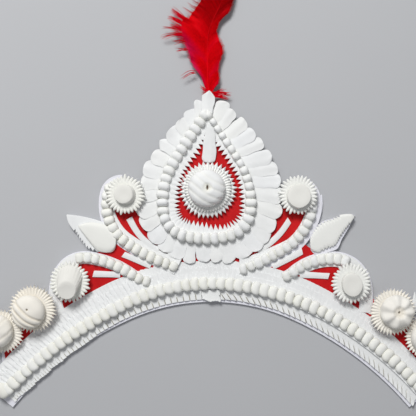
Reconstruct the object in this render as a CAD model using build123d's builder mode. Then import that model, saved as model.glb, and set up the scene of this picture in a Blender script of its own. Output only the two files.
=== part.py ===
from build123d import *
from math import atan2, cos, degrees, pi, radians, sin
import os

# Bridal crown of carved white pith on a card plate, lying on its back.
# Lengths are millimetres. +Z is the decorated face and +Y runs from the brow to the feather.
# The origin is on the back of the card, in the middle of the arched band.

# Arched band
brow_mid_radius = 141.0
brow_side_radius = 240.0
brow_mid_angle = 24.0
brow_end_angle = 49.5
band_width = 30.0

# Layers, from the back to the front
card_thick = 1.8
paper_thick = 0.4
strip_thick = 0.8
glue_gap = 0.1

# Combed strips on the band
comb_margin = 1.8
comb_overlap = 2.5
lower_comb_back = 12.0
middle_comb_edge = 22.0
comb_joint = 0.004
comb_pitch = 4.6
slit_width = 0.5
slit_depth = 5.5
notch_depth = 1.6
comb_lean = 1.6
lap_length = 13.0
lap_width = 7.0
lap_corner_share = 0.25

# Carved bead strips
band_bead_pitch = 6.2
band_bead_width = 9.4
band_bead_rise = 4.0
drop_bead_pitch = 6.0
drop_bead_width = 7.4
drop_bead_rise = 4.2
scroll_bead_pitch = 5.9
scroll_bead_width = 6.8
scroll_bead_rise = 3.6
bead_overlap = 1.12
bead_end_share = 0.5

# Drop shaped middle, set a little left of the axis
drop_shift = -3.2
drop_foot = 45.5
drop_tip_half_angle = 33.5
drop_flank_length = 40.0
drop_flank_radius = 56.0
drop_flank_turn = 39.5
drop_hip_radius = 21.0
drop_hip_turn = 71.0
backing_reach = 9.0
ground_inset = 2.3
lobe_anchor_share = 0.45
upper_gap_share = 0.55
lower_gap_share = 0.4
foot_gap_share = 0.3

# Petals round the drop
petal_count = 33
petal_half_span = 52.0
petal_shift = 1.0
petal_outline_height = 124.0
petal_outline_foot = 27.6
petal_width = 12.6
petal_root_width = 7.6
petal_root_inset = 0.6
tip_petal_width = 10.0

# Saw edged strip and the petal inside the drop
saw_width = 3.4
saw_tooth = 3.4
saw_pitch = 4.3
inner_petal_length = 22.0
inner_petal_width = 9.6
inner_petal_high = 31.0
inner_petal_shift = 1.7

# Rosettes
tooth_depth = 2.2
tooth_pitch = 2.6
disc_thick = 2.0
core_radius = 2.8
centre_core_radius = 9.7
upper_disc_radius = 13.8
upper_button_radius = 7.0
lower_disc_radius = 14.0
lower_button_radius = 6.8
button_height = 4.4
inner_end_disc_radius = 16.4
outer_end_disc_radius = 15.4
end_dome_radius = 11.8
end_dome_height = 8.6
centre_disc_radius = 21.6
centre_dome_radius = 13.2
centre_dome_height = 9.0
centre_core_height = 1.5
centre_drop = 13.0
upper_tier_inset = 2.0
upper_tier_thick = 1.2
groove_count = 4
groove_width = 1.2
groove_slant = -28.0
groove_floor = 0.62
groove_reach = 2.2
pin_floor = 0.6
dome_foot = 2.0
dome_shoulder_share = 0.62
dome_shoulder_rise = 0.82
dome_pinhole = 1.2
button_round = 0.35

# Ground behind the end rosettes, as shares along the arch, and how far it goes under the band
end_ground_level = 0.6
end_ground_first = 0.40
end_ground_middle = 0.62
card_end_share = 0.90
paper_end_share = 0.88
end_ground_tuck = 1.0

# Lobes beside the drop
upper_lobe_height = 85.0
lower_lobe_height = 42.5
upper_scroll_radius = 42.0
lower_scroll_radius = 25.0
scroll_inner_edge = 6.0
scroll_outer_edge = 3.6
stick_width = 4.2

# Leaves between the lobes
leaf_length = 39.0
leaf_width = 20.0
leaf_clearance = 0.3

# Feather
plume_length = 106.0
plume_width = 44.0
quill_radius = 0.9
quill_tuck = 8.0
lock_count = 16
lock_thick = 0.8
lock_root = 10.0
lock_first = 0.10
lock_lift = 0.35
lock_sweep = 0.7
lock_belly = 0.12

# Narrow sliver behind the right end rosettes
sliver_length = 15.0
sliver_width = 4.0
sliver_share = 0.757
sliver_foot = 48.0

os.makedirs("parts", exist_ok=True)

half_arc = radians(brow_mid_angle) * brow_mid_radius
half_brow = half_arc + radians(brow_end_angle - brow_mid_angle) * brow_side_radius
bend_share = half_arc / half_brow
brow_low = -band_width / 2

# Heights of the faces that the layers rest on
paper_floor = card_thick + glue_gap
strip_floor = paper_floor + paper_thick + glue_gap
second_floor = strip_floor + strip_thick + glue_gap
third_floor = second_floor + strip_thick + glue_gap
fourth_floor = third_floor + strip_thick + glue_gap
fifth_floor = fourth_floor + strip_thick + glue_gap

# Outer edge of the band: (share along the half arch, share of band_width)
band_edge_rows = ((0.0, 1.0), (0.36, 1.0), (0.70, 0.97), (1.0, 0.87))

# Bead row on the band: (share along the arch, share of band_width), from left to right
bead_row_rows = (
    (-0.97, 0.37),
    (-0.72, 0.35),
    (-0.45, 0.37),
    (-0.20, 0.43),
    (0.0, 0.45),
    (0.22, 0.44),
    (0.45, 0.49),
    (0.70, 0.51),
    (0.97, 0.51),
)

# Outline of the petal tips, from the top: (share of petal_half_span, share of petal_outline_height)
petal_outline_rows = (
    (0.0, 1.0),
    (0.35, 0.872),
    (0.65, 0.755),
    (0.93, 0.572),
    (1.0, 0.398),
    (0.955, 0.249),
    (0.70, 0.085),
    (0.30, 0.0),
    (0.0, 0.01),
)

# Bends of the scrolls: (share of the scroll radius, turn in degrees)
upper_left_bends = ((2.6, 18.3), (0.8, 66.0))
upper_right_bends = ((4.4, 9.3), (1.0, 43.0), (0.69, 24.0))
lower_left_bends = ((2.9, 27.6), (0.8, 68.6), (1.3, 42.0))
lower_right_bends = ((1.84, 37.8), (0.98, 81.5))

# Scrolls: (name, side, share along the arch, share of band_width, heading, card rim, turning, radius, bends)
scroll_rows = (
    ("upper", "left", 0.153, 1.0, 18.6, 5.7, 1, upper_scroll_radius, upper_left_bends),
    ("upper", "right", 0.135, 0.9, 23.0, 7.8, 1, upper_scroll_radius, upper_right_bends),
    ("lower", "left", 0.283, 0.95, 35.0, 4.3, -1, lower_scroll_radius, lower_left_bends),
    ("lower", "right", 0.293, 1.05, 37.9, 4.8, -1, lower_scroll_radius, lower_right_bends),
)

# Sizes of the rosettes: (lobe height, disc radius, floor step, cap radius, cap kind)
upper_rosette_sizes = (upper_lobe_height, upper_disc_radius, 0, upper_button_radius, "button")
lower_rosette_sizes = (lower_lobe_height, lower_disc_radius, 0, lower_button_radius, "button")
inner_end_sizes = (lower_lobe_height, inner_end_disc_radius, 1, end_dome_radius, "dome")
outer_end_sizes = (lower_lobe_height, outer_end_disc_radius, 0, end_dome_radius, "dome")

# Rosettes: (name, side, share along the arch, share of the lobe height), then the sizes
rosette_rows = (
    ("upper_rosette", "left", 0.232, 1.0) + upper_rosette_sizes,
    ("upper_rosette", "right", 0.236, 0.99) + upper_rosette_sizes,
    ("lower_rosette", "left", 0.509, 1.01) + lower_rosette_sizes,
    ("lower_rosette", "right", 0.509, 0.97) + lower_rosette_sizes,
    ("inner_end_rosette", "left", 0.677, 0.98) + inner_end_sizes,
    ("inner_end_rosette", "right", 0.689, 0.99) + inner_end_sizes,
    ("outer_end_rosette", "left", 0.822, 1.02) + outer_end_sizes,
    ("outer_end_rosette", "right", 0.832, 1.02) + outer_end_sizes,
)

# Sticks: (name, side, start and end, each as share along the arch and share of upper_lobe_height)
stick_rows = (
    ("upper_stick", "left", 0.230, 0.80, 0.165, 0.475),
    ("upper_stick", "right", 0.232, 0.785, 0.195, 0.58),
    ("middle_stick", "left", 0.315, 0.50, 0.215, 0.365),
    ("middle_stick", "right", 0.335, 0.51, 0.225, 0.355),
    ("lower_stick", "left", 0.415, 0.425, 0.335, 0.345),
    ("lower_stick", "right", 0.425, 0.435, 0.325, 0.365),
)

# Leaf edges from the foot to the tip: (share of leaf_length, share of leaf_width)
leaf_upper_rows = ((0.02, 0.12), (0.18, 0.34), (0.40, 0.43), (0.62, 0.31), (0.80, 0.18), (1.0, 0.0))
leaf_lower_rows = (
    (0.02, 0.12), (-0.02, -0.20), (0.06, -0.42), (0.20, -0.50), (0.46, -0.42), (0.74, -0.26), (1.0, 0.0)
)
leaf_back_rows = ((0.30, -0.70), (0.36, -0.69), (0.53, -0.57), (0.74, -0.42), (0.90, -0.22), (0.98, 0.0))
leaf_card_rows = ((0.02, 0.12), (0.1, -0.3), (0.8, 0.0), (1.0, 0.0))

# Leaves: (side, foot share along the arch, foot share of upper_lobe_height,
# pointing angle, share of leaf_length)
leaf_places = (("left", 0.311, 0.641, 31.7, 1.0), ("right", 0.316, 0.673, 30.1, 0.93))

# Feather: (share of plume_length, sideways share of plume_width), from its foot
quill_rows = ((0.0, 0.0), (0.30, -0.01), (0.50, 0.05), (0.66, 0.16), (0.82, 0.21), (1.0, 0.17))

# Reach of the feather's locks: (share of plume_length, left share, right share of plume_width)
lock_rows = (
    (0.05, 0.12, 0.18),
    (0.16, 0.30, 0.22),
    (0.22, 0.45, 0.25),
    (0.32, 0.57, 0.16),
    (0.49, 0.41, 0.20),
    (0.65, 0.36, 0.25),
    (0.85, 0.28, 0.22),
    (1.0, 0.08, 0.08),
)


def side_sign(side):
    return -1 if side == "left" else 1


def between(rows, share, column):
    """Value of one column of a table at a share, in a straight line between its rows."""
    for low, high in zip(rows, rows[1:]):
        if share <= high[0]:
            part_way = (share - low[0]) / (high[0] - low[0])
            return low[column] + part_way * (high[column] - low[column])
    return rows[-1][column]


def arch_angle(share):
    """Angle that the band has turned at a share of its half length."""
    run = abs(share) * half_brow
    if run <= half_arc:
        return run / brow_mid_radius
    return radians(brow_mid_angle) + (run - half_arc) / brow_side_radius


def arch_point(share, height):
    """Point at a signed share along the brow edge, and a height outwards from it."""
    side = -1 if share < 0 else 1
    turned = arch_angle(share)
    x = brow_mid_radius * sin(min(turned, radians(brow_mid_angle)))
    drop = brow_mid_radius * (1 - cos(min(turned, radians(brow_mid_angle))))
    if turned > radians(brow_mid_angle):
        x += brow_side_radius * (sin(turned) - sin(radians(brow_mid_angle)))
        drop += brow_side_radius * (cos(radians(brow_mid_angle)) - cos(turned))
    return Vector(side * (x + height * sin(turned)), brow_low - drop + height * cos(turned))


def band_height(share):
    return band_width * between(band_edge_rows, abs(share), 1)


def arch_edge(height, first, last):
    """Arcs along the band at a height, which is a number or a function of the share."""
    height_at = height if callable(height) else lambda share: height
    stops = [first] + [stop for stop in (-bend_share, bend_share) if first < stop < last] + [last]
    for low, high in zip(stops, stops[1:]):
        shares = (low, (low + high) / 2, high)
        ThreePointArc(*[arch_point(share, height_at(share)) for share in shares])


def band_strip(low, high, first=-1.0, last=1.0, mode=Mode.ADD):
    """Plain strip of the band between two heights."""
    high_at = high if callable(high) else lambda share: high
    with BuildLine() as outline:
        arch_edge(low, first, last)
        arch_edge(high, first, last)
        Line(arch_point(first, low), arch_point(first, high_at(first)))
        Line(arch_point(last, low), arch_point(last, high_at(last)))
    make_face(outline.edges(), mode=mode)


def comb_strip(edge, back, depth, gap, lean, first=-1.0, last=1.0):
    """Strip whose edge is cut into teeth: back is its plain edge, depth how deep the cuts go."""
    edge_at = edge if callable(edge) else lambda share: edge
    inward = 1 if back > edge_at(0) else -1
    shift = lean / half_brow
    count = max(2, round((last - first) * half_brow / comb_pitch))
    teeth = []
    for tooth in range(count):
        left = first + (last - first) * (tooth + 0.5 * gap / comb_pitch) / count
        right = first + (last - first) * (tooth + 1 - 0.5 * gap / comb_pitch) / count
        teeth.append(arch_point(left + shift, edge_at(left) + inward * depth))
        teeth.append(arch_point(left, edge_at(left)))
        teeth.append(arch_point(right, edge_at(right)))
        teeth.append(arch_point(right + shift, edge_at(right) + inward * depth))
    with BuildLine() as outline:
        Polyline(*teeth)
        Line(teeth[0], arch_point(first, back))
        Line(teeth[-1], arch_point(last, back))
        arch_edge(back, first, last)
    make_face(outline.edges())


def bead(width, pitch, rise):
    """Barrel lying across the row, with blunt ends and a flat underside."""
    reach = pitch * bead_overlap / 2
    end = reach * bead_end_share
    with BuildPart() as barrel:
        with BuildSketch(Plane.XY.offset(rise - reach)):
            with BuildLine() as outline:
                Polyline((end, -width / 2), (0, -width / 2), (0, width / 2), (end, width / 2))
                ThreePointArc((end, -width / 2), (reach, 0), (end, width / 2))
            make_face(outline.edges())
        revolve(axis=Axis((0, 0, rise - reach), (0, 1, 0)))
        split(bisect_by=Plane.XY, keep=Keep.TOP)
    return barrel.part


def bead_chain(route, pitch, width, rise, floor, first=0.0, last=1.0):
    """Beads carved from one strip, side by side along a route."""
    length = route.length * (last - first)
    count = max(2, round(length / pitch))
    step = length / count
    barrel = bead(width, step, rise)
    placed = []
    for index in range(count):
        share = first + (last - first) * (index + 0.5) / count
        spot = route.position_at(share)
        ahead = route.tangent_at(share)
        turn = degrees(atan2(ahead.Y, ahead.X))
        placed.append(Location((spot.X, spot.Y, floor), (0, 0, turn)) * barrel)
    return placed[0].fuse(*placed[1:])


def drop_outline():
    """Right half of the drop's bead row, from its tip down to its foot."""
    flank_heading = drop_tip_half_angle - 90
    hip_heading = flank_heading - drop_flank_turn
    foot_heading = hip_heading - drop_hip_turn
    foot_turn = 180 + foot_heading
    x = drop_flank_length * cos(radians(flank_heading))
    y = drop_flank_length * sin(radians(flank_heading))
    bends = ((drop_flank_radius, flank_heading, hip_heading), (drop_hip_radius, hip_heading, foot_heading))
    for radius, start, end in bends:
        x += radius * (sin(radians(start)) - sin(radians(end)))
        y += radius * (cos(radians(end)) - cos(radians(start)))
    foot_radius = x / sin(radians(foot_turn))
    y -= foot_radius * (1 - cos(radians(foot_turn)))
    tip = Vector(drop_shift, brow_low + drop_foot - y)
    ahead = Vector(cos(radians(flank_heading)), sin(radians(flank_heading)))
    with BuildLine() as half:
        flank = Line(tip, tip + ahead * drop_flank_length)
        side = JernArc(flank @ 1, flank % 1, drop_flank_radius, -drop_flank_turn)
        hip = JernArc(side @ 1, side % 1, drop_hip_radius, -drop_hip_turn)
        JernArc(hip @ 1, hip % 1, foot_radius, -foot_turn)
    return half.wires()[0]


def scroll_wire(row, offset=0.0):
    """Arcs of one scroll, moved sideways by an offset towards the inside of its bend."""
    side, share, height, heading = row[1:5]
    turning, size, bends = row[6:]
    sign = side_sign(side)
    angle = radians(heading)
    ahead = Vector(sign * cos(angle), sin(angle))
    inward = Vector(-ahead.Y, ahead.X) * sign * turning
    spot = arch_point(sign * share, height * band_width) + inward * offset
    with BuildLine() as line:
        for radius, turn in bends:
            bend = JernArc(spot, ahead, radius * size - offset, sign * turning * turn)
            spot = bend @ 1
            ahead = bend % 1
    return line.wires()[0]


def ribbon(row, inner, outer, mode=Mode.ADD):
    """Flat strip along a scroll between an inner and an outer offset."""
    near = scroll_wire(row, inner)
    far = scroll_wire(row, -outer)
    with BuildLine() as outline:
        add(near)
        add(far)
        Line(near @ 0, far @ 0)
        Line(near @ 1, far @ 1)
    make_face(outline.edges(), mode=mode)


def lobe_face(row, offset, mode=Mode.ADD):
    """Ground inside a scroll: the scroll's line closed through a point inside the crown."""
    line = scroll_wire(row, offset)
    anchor = drop_bottom
    if row[0] == "lower":
        anchor = arch_point(side_sign(row[1]) * lobe_anchor_share, band_width / 2)
    with BuildLine() as outline:
        add(line)
        Line(line @ 1, anchor)
        Line(anchor, line @ 0)
    make_face(outline.edges(), mode=mode)


def gap_ground():
    """Ground between the scrolls of each side, and between the drop and the band."""
    for upper, lower in ((scroll_rows[0], scroll_rows[2]), (scroll_rows[1], scroll_rows[3])):
        over = scroll_wire(upper)
        under = scroll_wire(lower)
        band_middle = Vector(drop_shift, brow_low + band_width / 2)
        Polygon(over @ 0, over @ upper_gap_share, under @ lower_gap_share, under @ 0, align=None)
        Polygon(over @ 0, over @ foot_gap_share, drop_bottom, band_middle, align=None)


def star(place, radius, depth, pitch):
    """Disc with pointed teeth round its edge."""
    count = max(8, round(2 * pi * radius / pitch))
    points = []
    for tooth in range(count):
        for reach, turn in ((radius, 0.0), (radius - depth, 0.5)):
            angle = 2 * pi * (tooth + turn) / count
            points.append(place + Vector(reach * cos(angle), reach * sin(angle)))
    with BuildLine() as outline:
        Polyline(*points, close=True)
    make_face(outline.edges())


def rosette_place(row):
    side, share, height, size = row[1:5]
    return arch_point(side_sign(side) * share, height * size)


def save(piece, name):
    piece.label = name
    export_step(piece, f"parts/{name}.step")


half_drop = drop_outline()
other_half = half_drop.mirror(Plane.YZ.offset(drop_shift))
drop_tip = half_drop @ 0
drop_bottom = half_drop @ 1
drop_heart = (drop_tip + drop_bottom) * 0.5
centre_place = drop_heart - Vector(0, centre_drop)
petal_half = Spline(*[
    (petal_shift + across * petal_half_span, brow_low + petal_outline_foot + up * petal_outline_height)
    for across, up in petal_outline_rows
])


def drop_place(share):
    """Point on the bead row at a share round the drop, clockwise from its tip."""
    if share <= 0.5:
        return half_drop.position_at(2 * share)
    spot = half_drop.position_at(2 * (1 - share))
    return Vector(2 * drop_shift - spot.X, spot.Y)


def petal_tip(share):
    """Point on the petals' outline at a share round it, clockwise from its tip."""
    if share <= 0.5:
        return petal_half.position_at(2 * share)
    spot = petal_half.position_at(2 * (1 - share))
    return Vector(2 * petal_shift - spot.X, spot.Y)


def drop_face(grow, mode=Mode.ADD):
    """Filled drop, grown or shrunk by a distance."""
    wire = Wire(half_drop.edges() + other_half.edges())
    kind = Kind.ARC if grow > 0 else Kind.INTERSECTION
    edge = wire.offset_2d(grow, kind) if grow else wire
    make_face(edge.edges(), mode=mode)


def end_ground(reach):
    """Ground behind the end rosettes, down to the band."""
    for sign in (-1, 1):
        centres = [rosette_place(row) for row in rosette_rows[2:] if side_sign(row[1]) == sign]
        low = band_height(end_ground_level) - comb_overlap - end_ground_tuck
        shares = (end_ground_first, end_ground_middle, reach)
        corners = [arch_point(sign * share, low) for share in shares]
        with BuildLine() as outline:
            Polyline(*centres, *reversed(corners), close=True)
        make_face(outline.edges())


def leaf_frame(place):
    """Plane at a leaf's foot, with its X axis towards the tip and its Y axis upwards."""
    side, share, height, angle, size = place
    sign = side_sign(side)
    ahead = Vector(sign * cos(radians(angle)), sin(radians(angle)))
    foot = arch_point(sign * share, height * upper_lobe_height)
    return Plane(origin=foot, x_dir=ahead, z_dir=(0, 0, 1)), sign


def leaf_face(place, rows, mode=Mode.ADD):
    """Leaf between its upper edge and another edge, both from its foot to its tip."""
    frame, sign = leaf_frame(place)
    length = leaf_length * place[4]
    width = leaf_width * place[4] * sign
    upper = [frame.from_local_coords((u * length, v * width)) for u, v in leaf_upper_rows]
    lower = [frame.from_local_coords((u * length, v * width)) for u, v in rows]
    with BuildLine() as outline:
        Spline(*upper)
        Spline(*lower)
        if upper[0] != lower[0]:
            Line(upper[0], lower[0])
        if upper[-1] != lower[-1]:
            Line(upper[-1], lower[-1])
    make_face(outline.edges(), mode=mode)


# Card plate and the red paper on it
with BuildPart() as card_base:
    with BuildSketch(Plane.XY):
        band_strip(0.0, band_height)
        drop_face(backing_reach)
        for row in scroll_rows:
            lobe_face(row, -row[5])
        gap_ground()
        for place in leaf_places:
            leaf_face(place, leaf_card_rows)
        for row in rosette_rows:
            with Locations(rosette_place(row)):
                Circle(row[5] - tooth_depth)
        end_ground(card_end_share)
    extrude(amount=card_thick)
save(card_base.part, "card_base")

with BuildPart() as red_ground:
    with BuildSketch(Plane.XY.offset(paper_floor)):
        drop_face(0)
        for row in scroll_rows:
            lobe_face(row, 0)
        gap_ground()
        end_ground(paper_end_share)
    extrude(amount=paper_thick)
save(red_ground.part, "red_ground")

# Combed strips of the band
with BuildPart() as comb_lower_left:
    with BuildSketch(Plane.XY.offset(paper_floor)):
        comb_strip(comb_margin, lower_comb_back, slit_depth, slit_width, -comb_lean, -1.0, -comb_joint)
    extrude(amount=strip_thick)
save(comb_lower_left.part, "comb_lower_left")

with BuildPart() as comb_lower_right:
    with BuildSketch(Plane.XY.offset(paper_floor)):
        comb_strip(comb_margin, lower_comb_back, slit_depth, slit_width, comb_lean, comb_joint, 1.0)
    extrude(amount=strip_thick)
save(comb_lower_right.part, "comb_lower_right")

with BuildPart() as comb_lap:
    with BuildSketch(Plane.XY.offset(paper_floor + strip_thick + glue_gap)):
        with Locations((0, brow_low + comb_margin + lap_width / 2)):
            RectangleRounded(lap_length, lap_width, lap_width * lap_corner_share)
    extrude(amount=strip_thick)
save(comb_lap.part, "comb_lap")

with BuildPart() as comb_upper:
    with BuildSketch(Plane.XY.offset(strip_floor)):
        comb_strip(band_height, middle_comb_edge - comb_overlap, notch_depth, notch_depth, 0.0)
    extrude(amount=strip_thick)
save(comb_upper.part, "comb_upper")

with BuildPart() as comb_middle:
    with BuildSketch(Plane.XY.offset(second_floor)):
        comb_strip(middle_comb_edge, lower_comb_back - comb_overlap, notch_depth, notch_depth, 0.0)
    extrude(amount=strip_thick)
save(comb_middle.part, "comb_middle")

# Bead strip of the band
band_route = Spline(*[arch_point(share, height * band_width) for share, height in bead_row_rows])
band_beads = bead_chain(band_route, band_bead_pitch, band_bead_width, band_bead_rise, third_floor)
save(band_beads, "band_beads")

# Drop shaped middle
with BuildPart() as drop_backing:
    with BuildSketch(Plane.XY.offset(strip_floor)):
        drop_face(backing_reach - glue_gap)
    extrude(amount=strip_thick)
save(drop_backing.part, "drop_backing")

with BuildPart() as drop_ground:
    with BuildSketch(Plane.XY.offset(second_floor)):
        drop_face(-petal_root_inset - ground_inset)
    extrude(amount=paper_thick)
save(drop_ground.part, "drop_ground")


def petal_face(root, tip, root_width, width):
    """Petal from its cut root to its round tip, widest before the tip."""
    length = (tip - root).length
    frame = Plane(origin=root, x_dir=tip - root, z_dir=(0, 0, 1))
    shoulder = length - width / 2
    corners = [
        (0, -root_width / 2),
        (shoulder, -width / 2),
        (length, 0),
        (shoulder, width / 2),
        (0, root_width / 2),
    ]
    low_root, low_side, crown, high_side, high_root = [frame.from_local_coords(corner) for corner in corners]
    with BuildLine() as outline:
        Line(high_root, low_root)
        Line(low_root, low_side)
        ThreePointArc(low_side, crown, high_side)
        Line(high_side, high_root)
    make_face(outline.edges())


def petal_ring(first, floor):
    """Every second petal round the drop, starting with one number, on one floor."""
    with BuildPart() as ring:
        for number in range(first, petal_count, 2):
            share = number / petal_count
            tip = petal_tip(share)
            edge = drop_place(share)
            root = edge + (edge - tip).normalized() * petal_root_inset
            with BuildSketch(Plane.XY.offset(floor)):
                petal_face(root, tip, petal_root_width, petal_width)
            extrude(amount=strip_thick)
    return ring.part


petals_under = petal_ring(1, second_floor)
save(petals_under, "petals_under")
petals_over = petal_ring(2, third_floor)
save(petals_over, "petals_over")

with BuildPart() as tip_petal:
    with BuildSketch(Plane.XY.offset(fourth_floor)):
        petal_face(drop_tip, petal_tip(0.0), tip_petal_width / 2, tip_petal_width)
    extrude(amount=strip_thick)
save(tip_petal.part, "tip_petal")


def saw_teeth():
    """Strip inside the drop's bead row, with pointed teeth towards the middle."""
    inner_half = Wire(half_drop.edges() + other_half.edges()).offset_2d(-saw_width, Kind.INTERSECTION)
    count = round(inner_half.length / saw_pitch)
    points = []
    for tooth in range(count):
        root = inner_half.position_at(tooth / count)
        tip = inner_half.position_at((tooth + 0.5) / count)
        points.append(root)
        points.append(tip + (drop_heart - tip).normalized() * saw_tooth)
    return points


with BuildPart() as drop_saw:
    with BuildSketch(Plane.XY.offset(fourth_floor)):
        drop_face(-glue_gap)
        with BuildLine() as teeth:
            Polyline(*saw_teeth(), close=True)
        make_face(teeth.edges(), mode=Mode.SUBTRACT)
    extrude(amount=strip_thick)
save(drop_saw.part, "drop_saw")

drop_route = Wire(half_drop.edges() + other_half.edges())
drop_beads = bead_chain(drop_route, drop_bead_pitch, drop_bead_width, drop_bead_rise, fifth_floor)
save(drop_beads, "drop_beads")

ground_top = second_floor + paper_thick + glue_gap
with BuildPart() as inner_petal:
    with BuildSketch(Plane.XY.offset(ground_top)):
        high_end = drop_heart + Vector(inner_petal_shift, inner_petal_high)
        low_end = high_end - Vector(0, inner_petal_length)
        petal_face(high_end, low_end, inner_petal_width / 2, inner_petal_width)
    extrude(amount=strip_thick)
save(inner_petal.part, "inner_petal")

with BuildPart() as centre_disc:
    with BuildSketch(Plane.XY.offset(ground_top)):
        with Locations(centre_place):
            Circle(centre_core_radius)
    extrude(amount=centre_core_height + disc_thick)
    with BuildSketch(Plane.XY.offset(ground_top + centre_core_height)):
        star(centre_place, centre_disc_radius, tooth_depth, tooth_pitch)
    extrude(amount=disc_thick)
    with BuildSketch(Plane.XY.offset(ground_top + centre_core_height + disc_thick)):
        star(centre_place, centre_disc_radius - tooth_depth - upper_tier_inset, tooth_depth, tooth_pitch)
    extrude(amount=upper_tier_thick)
save(centre_disc.part, "centre_disc")


def grooved_dome(place, floor, radius, height):
    """Bun of pith with slanting grooves and a pin hole in its top."""
    pin = dome_pinhole / 2
    foot = (radius - dome_foot, 0)
    waist = (radius - dome_foot / 3, 2 * dome_foot)
    shoulder = (radius * dome_shoulder_share, height * dome_shoulder_rise)
    with BuildPart() as dome:
        with BuildSketch(Plane.XZ):
            with BuildLine() as profile:
                Polyline((pin, height), (pin, height * pin_floor), (0, height * pin_floor), (0, 0), foot)
                ThreePointArc(foot, (radius, dome_foot), waist)
                ThreePointArc(waist, shoulder, (pin, height))
            make_face(profile.edges())
        revolve(axis=Axis.Z)
        spacing = 2 * radius / (groove_count + 1)
        across = [(0, spacing * (number - (groove_count - 1) / 2)) for number in range(groove_count)]
        with BuildSketch(Plane.XY.offset(height * groove_floor)):
            with Locations(*across):
                Rectangle(groove_reach * radius, groove_width, rotation=groove_slant)
        extrude(amount=height, mode=Mode.SUBTRACT)
    return Location((place.X, place.Y, floor)) * dome.part


centre_cap_floor = ground_top + centre_core_height + disc_thick + upper_tier_thick + glue_gap
centre_dome = grooved_dome(centre_place, centre_cap_floor, centre_dome_radius, centre_dome_height)
save(centre_dome, "centre_dome")

# Scrolls of the four lobes: flat strip and the bead strip on it
scroll_beads_top = second_floor + scroll_bead_rise
for row in scroll_rows:
    name, side = row[:2]
    with BuildPart() as scroll:
        with BuildSketch(Plane.XY.offset(strip_floor)):
            ribbon(row, scroll_inner_edge, scroll_outer_edge)
            band_strip(0.0, lambda share: band_height(share) + glue_gap, mode=Mode.SUBTRACT)
        extrude(amount=strip_thick)
    save(scroll.part, f"{name}_scroll_{side}")
    beads = bead_chain(scroll_wire(row), scroll_bead_pitch, scroll_bead_width, scroll_bead_rise, second_floor)
    save(beads, f"{name}_beads_{side}")

# Rosettes: toothed disc on a core, with a button or a dome on it
for row in rosette_rows:
    name, side = row[:2]
    disc_radius, step, cap_radius, cap_kind = row[5:]
    place = rosette_place(row)
    disc_floor = scroll_beads_top + glue_gap + step * (disc_thick + glue_gap)
    cap_floor = disc_floor + disc_thick + glue_gap
    with BuildPart() as disc:
        with BuildSketch(Plane.XY.offset(strip_floor)):
            with Locations(place):
                Circle(core_radius)
        extrude(amount=disc_floor + disc_thick - strip_floor)
        with BuildSketch(Plane.XY.offset(disc_floor)):
            star(place, disc_radius, tooth_depth, tooth_pitch)
        extrude(amount=disc_thick)
    save(disc.part, f"{name}_{side}")
    if cap_kind == "dome":
        save(grooved_dome(place, cap_floor, cap_radius, end_dome_height), f"{name}_dome_{side}")
        continue
    with BuildPart() as button:
        with BuildSketch(Plane.XY.offset(cap_floor)):
            with Locations(place):
                Circle(cap_radius)
        extrude(amount=button_height)
        fillet(button.faces().sort_by(Axis.Z)[-1].edges(), button_height * button_round)
    save(button.part, f"{name}_button_{side}")

# Flat sticks on the red ground
for name, side, first_share, first_height, last_share, last_height in stick_rows:
    sign = side_sign(side)
    start = arch_point(sign * first_share, first_height * upper_lobe_height)
    end = arch_point(sign * last_share, last_height * upper_lobe_height)
    with BuildPart() as stick:
        with BuildSketch(Plane.XY.offset(strip_floor)):
            middle = (start + end) * 0.5
            run = end - start
            with Locations(middle):
                Rectangle(run.length, stick_width, rotation=degrees(atan2(run.Y, run.X)))
            inner_edge = scroll_inner_edge + glue_gap
            outer_edge = scroll_outer_edge + glue_gap
            for row in scroll_rows:
                if row[1] == side:
                    ribbon(row, inner_edge, outer_edge, mode=Mode.SUBTRACT)
            band_strip(0.0, lambda share: band_height(share) + glue_gap, mode=Mode.SUBTRACT)
        extrude(amount=strip_thick)
    save(stick.part, f"{name}_{side}")

# Leaves between the lobes: a plain one over a saw edged one
for place in leaf_places:
    side = place[0]
    rims = [row for row in scroll_rows if row[1] == side]
    with BuildPart() as leaf_back:
        with BuildSketch(Plane.XY.offset(strip_floor)):
            leaf_face(place, leaf_back_rows)
            for row in rims:
                lobe_face(row, -row[5] - glue_gap, mode=Mode.SUBTRACT)
        extrude(amount=strip_thick)
    save(leaf_back.part, f"leaf_back_{side}")
    with BuildPart() as leaf_front:
        with BuildSketch(Plane.XY.offset(second_floor)):
            leaf_face(place, leaf_lower_rows)
            for row in rims:
                lobe_face(row, -scroll_bead_width / 2 - leaf_clearance, mode=Mode.SUBTRACT)
        extrude(amount=strip_thick)
    save(leaf_front.part, f"leaf_front_{side}")

# Narrow sliver behind the right end rosettes
with BuildPart() as end_sliver:
    with BuildSketch(Plane.XY.offset(paper_floor)):
        foot = arch_point(sliver_share, sliver_foot)
        with BuildLine() as outline:
            Polyline(
                foot + Vector(-sliver_width / 2, 0),
                foot + Vector(sliver_width / 2, 0),
                foot + Vector(sliver_width / 4, sliver_length),
                close=True,
            )
        make_face(outline.edges())
    extrude(amount=strip_thick)
save(end_sliver.part, "end_sliver")

# Feather: a quill with flat locks fused to it, tucked under the tip petal
plume_foot = petal_tip(0.0) - Vector(0, quill_tuck)
plume_floor = second_floor
quill_spots = [Vector(across * plume_width, up * plume_length) for up, across in quill_rows]
quill_line = Spline(*[plume_foot + spot for spot in quill_spots])

quill_sides = []
for number in range(len(quill_rows)):
    ahead = quill_line.tangent_at(number / (len(quill_rows) - 1))
    quill_sides.append((quill_line.position_at(number / (len(quill_rows) - 1)), Vector(ahead.Y, -ahead.X)))


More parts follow.
